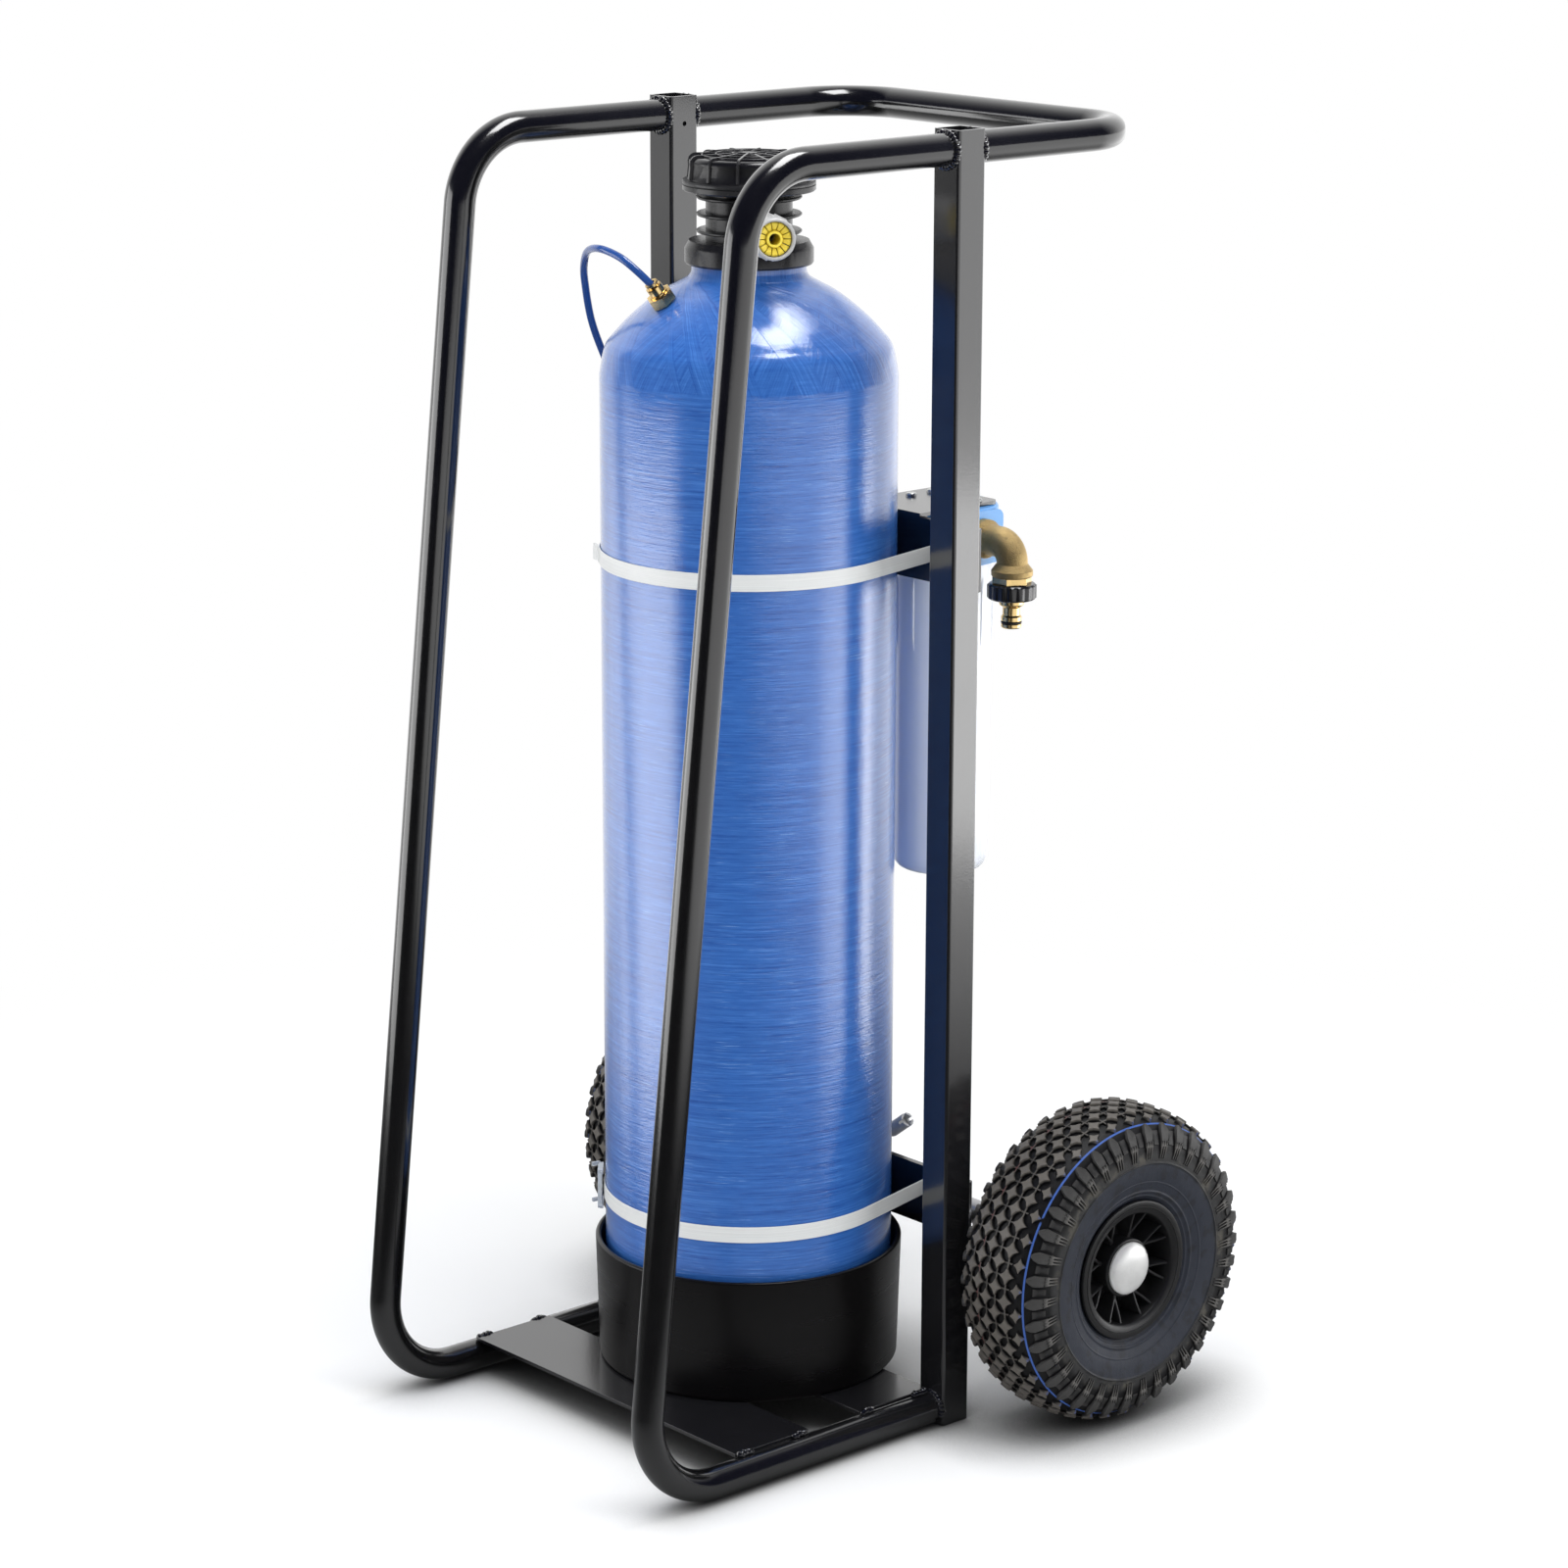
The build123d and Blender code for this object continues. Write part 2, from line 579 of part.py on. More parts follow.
def vent_hose_end():
    """elbow with an open, cross-slotted mouth"""
    along = Vector(1, 0, 0)
    mouth_dir = Vector(0.8, 0.0, 0.6).normalized()
    bend = VENT_TUBE_END + along * 13.0
    solid = rod(VENT_TUBE_END + along * 0.2, along, 5.5, 14.0)
    solid = solid + Pos(*tuple(bend)) * Sphere(6.0) + rod(bend, mouth_dir, 6.0, 22.0)
    solid = solid - rod(bend + mouth_dir * 15, mouth_dir, 4.2, 12)
    mouth = Plane(origin=bend + mouth_dir * 20.0, z_dir=mouth_dir)
    for k in range(2):
        solid = solid - mouth * (Rot(0, 0, 90 * k) * Box(14.0, 2.6, 6.0))
    return solid


# ---- filter ----
def filter_bracket():
    """angle bracket behind the upper cross flat"""
    x0, x1 = -5, 71
    solid = (box(x0, x1, CROSS_Y - FLAT_T / 2, 205, FILTER_TOP, FILTER_TOP + BRACKET_T)
             + box(x0, x1, CROSS_BACK, CROSS_BACK + BRACKET_T, 702, FILTER_TOP + 0.5))
    for x, y in SCREWS:
        solid = solid - Pos(x, y, FILTER_TOP + BRACKET_T / 2) * Cylinder(2.8, 8)
    corners = solid.edges().filter_by(Axis.Z).filter_by(lambda e: e.center().Y > 200)
    return fillet(corners, 8.0)


def bracket_screw(x, y):
    head_z = FILTER_TOP + BRACKET_T
    head = upright(x, y, head_z, head_z + 2.8, 4.4)
    head = fillet(head.edges().group_by(Axis.Z)[-1], 1.6)
    return head + Pos(x, y, FILTER_TOP - 3.9) * Cylinder(2.4, 13.9)


def bracket_screws():
    return group(bracket_screw(x, y) for x, y in SCREWS)


def filter_head():
    body = upright(FILTER_X, FILTER_Y, FILTER_LOW, FILTER_TOP, 44.0)
    body = fillet(body.edges().group_by(Axis.Z)[-1], 3.0)
    boss = box(FILTER_X - FILTER_HALF, FILTER_X + FILTER_HALF, FILTER_Y - 23, FILTER_Y + 23,
               FILTER_LOW + 1, FILTER_TOP - 1)
    boss = fillet(boss.edges().filter_by(Axis.X), 7.0)
    solid = body + boss
    solid = solid - upright(FILTER_X, FILTER_Y, FILTER_LOW - 1, SOCKET_Z, 37.5)
    # spigot down into the cartridge bore
    low, high = 660, SOCKET_Z + 1
    solid = solid + Pos(FILTER_X, FILTER_Y, (low + high) / 2) * ring(13.6, high - low, 9.0)
    for side in (-1, 1):
        start = (FILTER_X + side * (FILTER_HALF + 1), FILTER_Y, FILTER_PORT_Z)
        solid = solid - rod(start, (-side, 0, 0), 12.0, 17.0)
    for x, y in SCREWS:
        solid = solid - Pos(x, y, FILTER_TOP - 5.5) * Cylinder(2.4, 11.6)
    return solid


def filter_bowl():
    rim_z = FILTER_LOW - 0.1
    return Pos(FILTER_X, FILTER_Y, 0) * turned([
        (0, BOWL_BOTTOM), (28.0, BOWL_BOTTOM), (34.5, BOWL_BOTTOM + 2.5),
        (38.0, BOWL_BOTTOM + 9), (38.6, BOWL_BOTTOM + 14), (40.0, 660.0), (41.0, 664.0),
        (41.0, rim_z), (37.4, rim_z), (37.4, SOCKET_Z - 3.0), (33.0, SOCKET_Z - 3.0),
        (33.0, 421.5), (31.5, 420.0), (0, 420.0)])


def bowl_seal():
    return Pos(FILTER_X, FILTER_Y, SOCKET_Z - 1.5) * Torus(35.2, 1.5)


def filter_cartridge():
    return Pos(FILTER_X, FILTER_Y, 544.0) * ring(31.0, 248.0, 14.0)


# ---- brass elbow on the right filter port and the fittings below it ----
def on_elbow(profile):
    """solid turned about the vertical leg of the brass elbow"""
    return Pos(ELBOW_X, FILTER_Y, 0) * turned(profile)


def elbow_path(start_x, end_z):
    y, z, radius = FILTER_Y, FILTER_PORT_Z, ELBOW_BEND_R
    start = (ELBOW_X - radius, y, z)
    middle = (ELBOW_X - radius * (1 - sin(pi / 4)), y, z - radius * (1 - cos(pi / 4)))
    end = (ELBOW_X, y, z - radius)
    return Wire([Line((start_x, y, z), start), ThreePointArc(start, middle, end),
                 Line(end, (ELBOW_X, y, end_z))])


def brass_elbow():
    y, z = FILTER_Y, FILTER_PORT_Z
    leg = (rod((RIGHT_PORT_X - 15.5, y, z), (1, 0, 0), 11.95, 16)
           + rod((RIGHT_PORT_X, y, z), (1, 0, 0), 15.6, 5.5)
           + Pos(RIGHT_PORT_X + 5.4, y, z) * Rot(0, 90, 0) * Pos(0, 0, 1.5)
           * Cone(15.6, 12.4, 3.0))
    collar = on_elbow([(0, 669.0), (15.6, 669.0), (16.6, 670.0), (16.6, 674.0),
                       (12.3, 679.5), (0, 679.5)])
    outer = rod_along(elbow_path(RIGHT_PORT_X + 2, 670.0), 12.4)
    bore = rod_along(elbow_path(RIGHT_PORT_X - 16, 666.0), 9.0)
    return leg + outer + collar - bore


def hex_adapter():
    hexagon = Pos(ELBOW_X, FILTER_Y, 663.6) * extrude(RegularPolygon(16.2, 6), 5.4)
    sleeve = on_elbow([(6.5, 655.0), (12.0, 655.0), (12.0, 664.0), (8.95, 664.0),
                       (8.95, 680.0), (6.5, 680.0)])
    return hexagon + sleeve - Pos(ELBOW_X, FILTER_Y, 668) * Cylinder(6.5, 40)


def quick_nipple():
    return on_elbow([
        (5.0, 627.4), (7.4, 627.4), (8.2, 628.4), (8.2, 630.7), (6.6, 630.7), (6.6, 633.3),
        (8.2, 633.3), (8.2, 636.5), (7.0, 638.0), (7.0, 644.0), (9.6, 646.0), (10.0, 647.0),
        (10.0, 652.0), (11.9, 652.0), (11.9, 654.9), (5.0, 654.9)])


def ring_nut():
    nut = on_elbow([(10.05, 650.8), (18.3, 650.8), (19.2, 651.8), (19.2, 662.6),
                    (18.3, 663.5), (12.05, 663.5), (12.05, 651.95), (10.05, 651.95)])
    for k in range(16):
        grip = Rot(0, 0, 22.5 * k) * Pos(19.0, 0, 0) * Box(1.8, 3.4, 10.6)
        nut = nut + Pos(ELBOW_X, FILTER_Y, 657.1) * grip
    return nut


def nipple_o_ring():
    return Pos(ELBOW_X, FILTER_Y, 632.0) * Torus(7.5, 0.9)


# ---- straps round the cylinder and the cross flats ----
STRAP_R = VESSEL_R + 0.15      # inner radius of the strap


def strap(z):
    back_y = CROSS_BACK + 0.15
    leave = radians(13.0)      # where the strap leaves the cylinder
    x, y = STRAP_R * cos(leave), STRAP_R * sin(leave)
    back_x = x - (back_y - y) / cos(leave) * sin(leave)
    inner = make_face(Wire([ThreePointArc((x, y), (0, -STRAP_R), (-x, y)),
                            Line((-x, y), (-back_x, back_y)),
                            Line((-back_x, back_y), (back_x, back_y)),
                            Line((back_x, back_y), (x, y))]))
    section = offset(inner, amount=STRAP_T, kind=Kind.ARC) - inner
    return Pos(0, 0, z - STRAP_W / 2) * extrude(section, STRAP_W)


def strap_upper():
    """strap with a short tail standing off it at the front left"""
    z = STRAP_UPPER_Z
    tail_deg = 228.5
    tail_r, tail_ang = STRAP_R + STRAP_T + 2.6, radians(tail_deg) + 0.02
    place = Pos(tail_r * cos(tail_ang), tail_r * sin(tail_ang), z)
    tail = place * Rot(0, 0, tail_deg + 62.0) * Box(1.0, 13.0, STRAP_W)
    return strap(z) + (tail - Pos(0, 0, z) * Cylinder(STRAP_R + 0.3, 40))


def strap_lower():
    return strap(STRAP_LOWER_Z)


def buckle(z, degrees):
    """open frame buckle lying on the strap"""
    seat_r = STRAP_R + STRAP_T + 0.1
    frame_r = seat_r + 3.2
    solid = Pos(frame_r, 0, 0) * Box(3.2, 22.0, 33.0)
    solid = fillet(solid.edges().filter_by(Axis.X), 3.0)
    for y in (-5.4, 5.4):
        solid = solid - Pos(frame_r, y, 0) * Box(8.0, 5.6, 22.0)
    for end in (-1, 1):
        solid = solid + Pos(seat_r + 2.0, 0, end * 14.6) * Box(3.0, 20.0, 3.8)
        ear = Pos(seat_r + 6.8, -9.6, end * 15.4) * Rot(0, 0, 30) * Box(7.0, 2.4, 3.0)
        solid = solid + ear
    solid = solid - Cylinder(seat_r, 60)
    return Rot(0, 0, degrees) * Pos(0, 0, z) * solid


def strap_buckles():
    return group([buckle(STRAP_LOWER_Z, 228.5), buckle(STRAP_UPPER_Z, 200.0)])


# ---- output: each file is named after the function that builds the piece ----
def save(name, shape):
    shape = shape.moved(Location((0, FRAME_Y, 0)))
    shape.label = name
    export_step(shape, "parts/" + name + ".step")


os.makedirs("parts", exist_ok=True)
for side_name, side in (("left", -1), ("right", 1)):
    for piece in (hoop, post, axle_arm, tyre, inner_tube, rim, hub_bearings):
        save(piece.__name__ + "_" + side_name, piece(side))

for piece in (
        handle_loop, base_strip_front, base_strip_rear, upper_cross_flat, lower_cross_flat,
        axle, axle_spacers, axle_washers, axle_caps,
        vessel_shell, vessel_liner, vessel_boot, resin_bed, riser_tube, bottom_strainer,
        head_body, head_gasket, lid, lid_seal,
        coupling_body, coupling_claws, coupling_sleeve, coupling_valve,
        hose_elbow, filter_hose_tail, transfer_hose, hose_clamps,
        vent_connector, vent_release_ring, vent_hose, vent_hose_end,
        filter_bracket, bracket_screws, filter_head, filter_bowl, bowl_seal,
        filter_cartridge, brass_elbow, hex_adapter, quick_nipple, ring_nut, nipple_o_ring,
        strap_upper, strap_lower, strap_buckles):
    save(piece.__name__, piece())
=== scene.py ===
# A two-wheeled trolley carrying a blue wound cylinder with its head, strainer, hoses and filter.
# It stands on z = 0 with +Z up. The base rails run towards -Y, the front; the handle, the
# filter and the wheels are behind the cylinder, towards +Y. +X is the right side.
# Pieces are laid out in millimetres from the cylinder axis, which lies at AXIS_Y in the frame.
import json
from math import ceil, cos, exp, pi, radians, sin, sqrt, tan

import bpy
import bmesh
from mathutils import Matrix, Vector, noise

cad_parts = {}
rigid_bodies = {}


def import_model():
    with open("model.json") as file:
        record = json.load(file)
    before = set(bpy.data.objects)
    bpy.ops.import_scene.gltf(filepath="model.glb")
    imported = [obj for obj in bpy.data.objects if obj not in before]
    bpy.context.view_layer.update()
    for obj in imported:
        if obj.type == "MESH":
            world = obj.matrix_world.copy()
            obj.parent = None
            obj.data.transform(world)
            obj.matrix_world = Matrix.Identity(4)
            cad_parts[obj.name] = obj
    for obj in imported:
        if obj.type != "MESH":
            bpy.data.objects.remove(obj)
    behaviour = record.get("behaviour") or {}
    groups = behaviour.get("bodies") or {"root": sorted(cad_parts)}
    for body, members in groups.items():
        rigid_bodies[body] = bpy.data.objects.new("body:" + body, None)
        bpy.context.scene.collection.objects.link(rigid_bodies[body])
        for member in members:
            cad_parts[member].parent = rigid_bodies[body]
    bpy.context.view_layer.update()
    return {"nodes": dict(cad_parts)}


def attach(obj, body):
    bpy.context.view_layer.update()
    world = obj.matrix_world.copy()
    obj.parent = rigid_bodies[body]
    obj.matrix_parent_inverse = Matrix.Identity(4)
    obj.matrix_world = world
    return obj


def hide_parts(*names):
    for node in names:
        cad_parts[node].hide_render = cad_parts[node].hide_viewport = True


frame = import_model()
NODES = frame["nodes"]
SCENE = bpy.context.scene

MM = 0.001
AXIS_Y = -20.25

VESSEL_R = 116.4
NECK_R = 44.6
# outside of the dome, from the top of the wall inwards: radius, z
DOME = [(VESSEL_R, 834.9), (112.0, 856.4), (104.0, 867.4), (94.0, 878.1), (82.0, 888.6),
        (70.0, 897.8), (58.0, 904.5), (48.5, 909.8)]
WHEEL_X, WHEEL_Y, WHEEL_Z = 236.0, 169.5, 130.0
TYRE_R = 126.0


# ---------------------------------------------------------------------------
# shader node helpers
# ---------------------------------------------------------------------------
class Value:
    """a node output that can be used in arithmetic; each operation adds a math node"""

    def __init__(self, nodes, socket):
        self.nodes = nodes
        self.socket = socket

    def __add__(self, other):
        return self.nodes.math("ADD", self, other)

    def __radd__(self, other):
        return self.nodes.math("ADD", other, self)

    def __sub__(self, other):
        return self.nodes.math("SUBTRACT", self, other)

    def __rsub__(self, other):
        return self.nodes.math("SUBTRACT", other, self)

    def __mul__(self, other):
        return self.nodes.math("MULTIPLY", self, other)

    def __truediv__(self, other):
        return self.nodes.math("DIVIDE", self, other)

    def __pow__(self, other):
        return self.nodes.math("POWER", self, other)

    def __abs__(self):
        return self.nodes.math("ABSOLUTE", self)


class Nodes:
    """adds nodes to a tree; an input takes a number, a colour, a vector or a Value"""

    def __init__(self, tree):
        self.tree = tree
        tree.nodes.clear()

    def put(self, socket, value):
        if isinstance(value, Value):
            self.tree.links.new(value.socket, socket)
        elif socket.type == "RGBA":
            socket.default_value = (*value, 1.0)
        else:
            socket.default_value = value

    def node(self, kind, inputs=None, **props):
        made = self.tree.nodes.new(kind)
        for name, value in props.items():
            setattr(made, name, value)
        for key, value in (inputs or {}).items():
            if value is not None:
                self.put(made.inputs[key], value)
        return made

    def outputs(self, made, *keys):
        return [Value(self, made.outputs[key]) for key in keys]

    def add(self, kind, inputs=None, output=0, **props):
        return self.outputs(self.node(kind, inputs, **props), output)[0]

    def math(self, operation, first, second=None):
        return self.add("ShaderNodeMath", {0: first, 1: second}, operation=operation)

    def ramp(self, factor, stops, interpolation="LINEAR"):
        """stops are (position, grey or colour)"""
        made = self.node("ShaderNodeValToRGB", {0: factor})
        made.color_ramp.interpolation = interpolation
        elements = made.color_ramp.elements
        while len(elements) < len(stops):
            elements.new(0.5)
        for element, (position, color) in zip(elements, stops):
            if isinstance(color, (int, float)):
                color = (color,) * 3
            element.position = position
            element.color = (*color, 1)
        return self.outputs(made, "Color")[0]

    def rise(self, factor, low, high):
        """straight ramp from black at low to white at high"""
        return self.ramp(factor, [(low, 0.0), (high, 1.0)])

    def mix_shader(self, factor, first, second):
        return self.add("ShaderNodeMixShader", {0: factor, 1: first, 2: second})


MATERIALS = {}


class Material(Nodes):
    """a Principled material; position is measured from the foot of the cylinder axis"""

    def __init__(self, name):
        self.data = bpy.data.materials.new(name)
        self.data.use_nodes = True
        super().__init__(self.data.node_tree)
        MATERIALS[name] = self.data
        self.output = self.node("ShaderNodeOutputMaterial")
        self.principled = self.node("ShaderNodeBsdfPrincipled")
        self.surface = self.outputs(self.principled, 0)[0]
        self.put(self.output.inputs[0], self.surface)
        place_in_object = self.add("ShaderNodeTexCoord", output="Object")
        self.position = self.add("ShaderNodeVectorMath",
                                 {0: place_in_object, 1: (0.0, -AXIS_Y * MM, 0.0)},
                                 operation="ADD")

    def set(self, **inputs):
        """Principled inputs, with underscores for the spaces in their names"""
        for name, value in inputs.items():
            self.put(self.principled.inputs[name.replace("_", " ")], value)

    def noise(self, vector=None, scale=1.0, detail=3, rough=0.55):
        return self.add("ShaderNodeTexNoise", {"Vector": vector or self.position, "Scale": scale,
                                               "Detail": detail, "Roughness": rough}, "Fac")

    def stretched(self, scale, detail=3, rough=0.55, rotation=(0, 0, 0)):
        """noise with its own scale along each axis"""
        vector = self.add("ShaderNodeMapping", {"Vector": self.position, "Scale": scale,
                                                "Rotation": rotation})
        return self.noise(vector, detail=detail, rough=rough)

    def smooth(self, value, low, high):
        """smooth step from 0 at low to 1 at high"""
        return self.add("ShaderNodeMapRange", {0: value, 1: low, 2: high},
                        interpolation_type="SMOOTHSTEP")

    def mix(self, factor, first, second, blend="MIX"):
        return self.add("ShaderNodeMix", {0: factor, 6: first, 7: second}, output=2,
                        data_type="RGBA", blend_type=blend)

    def xyz(self):
        return self.outputs(self.node("ShaderNodeSeparateXYZ", {0: self.position}), 0, 1, 2)

    def combine(self, x, y, z):
        return self.add("ShaderNodeCombineXYZ", {0: x, 1: y, 2: z})

    def bump(self, height, strength, distance, normal=None):
        return self.add("ShaderNodeBump", {"Strength": strength, "Distance": distance,
                                           "Height": height, "Normal": normal})

    def edge_wear(self, amount):
        """picks out convex edges, from the surface's own pointiness"""
        pointiness = self.add("ShaderNodeNewGeometry", output="Pointiness")
        return self.smooth(pointiness, 0.52, 0.60) * amount


# ---------------------------------------------------------------------------
# material families
# ---------------------------------------------------------------------------
def black_coat(name, base, rough_low, rough_high, coat, peel):
    """glossy black powder coat: orange peel, faint haze, lighter edges"""
    mat = Material(name)
    haze = mat.rise(mat.noise(scale=38, detail=5, rough=0.65), 0.46, 0.74)
    color = mat.mix(haze * 0.35, base, tuple(c * 1.8 + 0.002 for c in base))
    color = mat.mix(mat.edge_wear(0.2), color, (0.03, 0.03, 0.034))
    normal = mat.bump(mat.noise(scale=620, detail=2), strength=peel, distance=0.0006)
    normal = mat.bump(mat.noise(scale=2600, detail=1), strength=0.03, distance=0.0002,
                      normal=normal)
    broad = mat.noise(scale=14, detail=4)
    mat.set(Base_Color=color, Metallic=0.0, IOR=1.5, Normal=normal, Coat_Normal=normal,
            Roughness=broad * (rough_high - rough_low) + rough_low,
            Coat_Weight=coat, Coat_Roughness=0.10, Coat_IOR=1.6)


def plastic(mat, base=None, rough=0.35, var=0.12, grain=900, grain_depth=0.08, coat=0.0,
            subsurface=0.0, specular=0.5, wear=0.1, color=None, roughness=None, normal=None):
    """moulded plastic or rubber; color, roughness and normal replace the stock ones"""
    mid = mat.noise(scale=160, detail=3)
    if color is None:
        dark = tuple(c * (1 - var) for c in base)
        light = tuple(min(1, c * (1 + var)) for c in base)
        color = mat.mix(mat.noise(scale=22, detail=4), dark, light)
        color = mat.mix(mid * 0.2, color, base)
        color = mat.mix(mat.edge_wear(wear), color, tuple(min(1, c * 1.5 + 0.03) for c in base))
    if roughness is None:
        roughness = mid * 0.12 + (rough - 0.06)
    if normal is None:
        normal = mat.bump(mat.noise(scale=grain, detail=3, rough=0.6), strength=grain_depth,
                          distance=0.0004)
    mat.set(Base_Color=color, Roughness=roughness, Normal=normal, Specular_IOR_Level=specular)
    if coat:
        mat.set(Coat_Weight=coat, Coat_Roughness=0.08)
    if subsurface:
        mat.set(Subsurface_Weight=subsurface, Subsurface_Radius=(0.006, 0.006, 0.007))


def metal(name, base, rough, grime, grime_amount, cast=False, brushed=None, metallic=1.0):
    """spotted metal; cast gives it a coarse skin, brushed is the grain's scale along each axis"""
    mat = Material(name)
    broad = mat.noise(scale=60, detail=4)
    color = mat.mix(mat.rise(broad, 0.35, 0.75), base, tuple(c * 0.82 for c in base))
    spots = mat.rise(mat.noise(scale=210, detail=5, rough=0.7), 0.58, 0.75)
    color = mat.mix(spots * grime_amount, color, grime)
    if brushed:
        grain = mat.stretched(brushed)
    else:
        grain = mat.noise(scale=1500, detail=3, rough=0.7)
    normal = mat.bump(grain, strength=0.56 if cast else 0.06, distance=0.0009 if cast else 0.0003)
    if cast:
        normal = mat.bump(mat.noise(scale=420, detail=4, rough=0.65), strength=0.35,
                          distance=0.0009, normal=normal)
    mat.set(Base_Color=color, Metallic=metallic, Roughness=broad * 0.14 + (rough - 0.05),
            Normal=normal)


# ---------------------------------------------------------------------------
# materials
# ---------------------------------------------------------------------------
def boot_black():
    mat = Material("boot_black")
    # moulding flow marks and fine scratches
    flow = mat.stretched((9, 9, 160), detail=4)
    scratches = mat.stretched((40, 40, 900), detail=2, rotation=(0.5, 0.2, 0))
    plastic(mat, (0.0034, 0.0030, 0.0033), var=0.25, wear=0.1, specular=0.30,
            roughness=flow * 0.14 + 0.22,
            normal=mat.bump(flow + scratches * 0.5, strength=0.05, distance=0.0006))


def lid_black():
    """grained on the lid's sides only, polished on top"""
    mat = Material("lid_black")
    side = 1.0 - mat.smooth(mat.xyz()[2], 0.9985, 1.0015)
    grain = mat.noise(scale=1700, detail=2) * side
    plastic(mat, (0.0045, 0.0045, 0.0056), var=0.3, wear=0.6, specular=0.38, coat=0.3,
            roughness=side * 0.22 + 0.22, normal=mat.bump(grain, strength=0.30, distance=0.0006))


def bowl_white():
    """white gloss with faint upright flow, and a painted blue reflection of the cylinder on the
    side towards it
    """
    mat = Material("bowl_white")
    # painted reflection: the side of the bowl towards the cylinder is tinted blue, as the
    # cylinder mirrored in it
    painted_cylinder_reflection = mat.smooth(mat.xyz()[0], 0.055, -0.005)
    flow = mat.stretched((210, 210, 5))
    color = mat.mix(painted_cylinder_reflection * 0.75, (0.83, 0.85, 0.89), (0.30, 0.46, 0.80))
    plastic(mat, rough=0.22, coat=0.4, subsurface=0.25,
            color=mat.mix(flow * 0.22, color, (0.55, 0.66, 0.84)),
            normal=mat.bump(flow, strength=0.10, distance=0.0007))


def strap_white():
    """woven strapping with lengthwise filaments"""
    mat = Material("strap_white")
    coarse = mat.stretched((10, 10, 1500), rough=0.7)
    fine = mat.stretched((30, 30, 5200), detail=2, rough=0.6)
    color = mat.mix(coarse, (0.55, 0.57, 0.57), (0.90, 0.90, 0.89))
    plastic(mat, rough=0.38, subsurface=0.1,
            color=mat.mix(fine * 0.4, color, (0.62, 0.64, 0.64)),
            normal=mat.bump(coarse + fine, strength=0.35, distance=0.0004))


def buckle_clear():
    """cloudy translucent plastic"""
    mat = Material("buckle_clear")
    plastic(mat, (0.78, 0.82, 0.86), rough=0.18, var=0.05, grain_depth=0.05, wear=0.0)
    mat.set(Transmission_Weight=0.55, IOR=1.45)


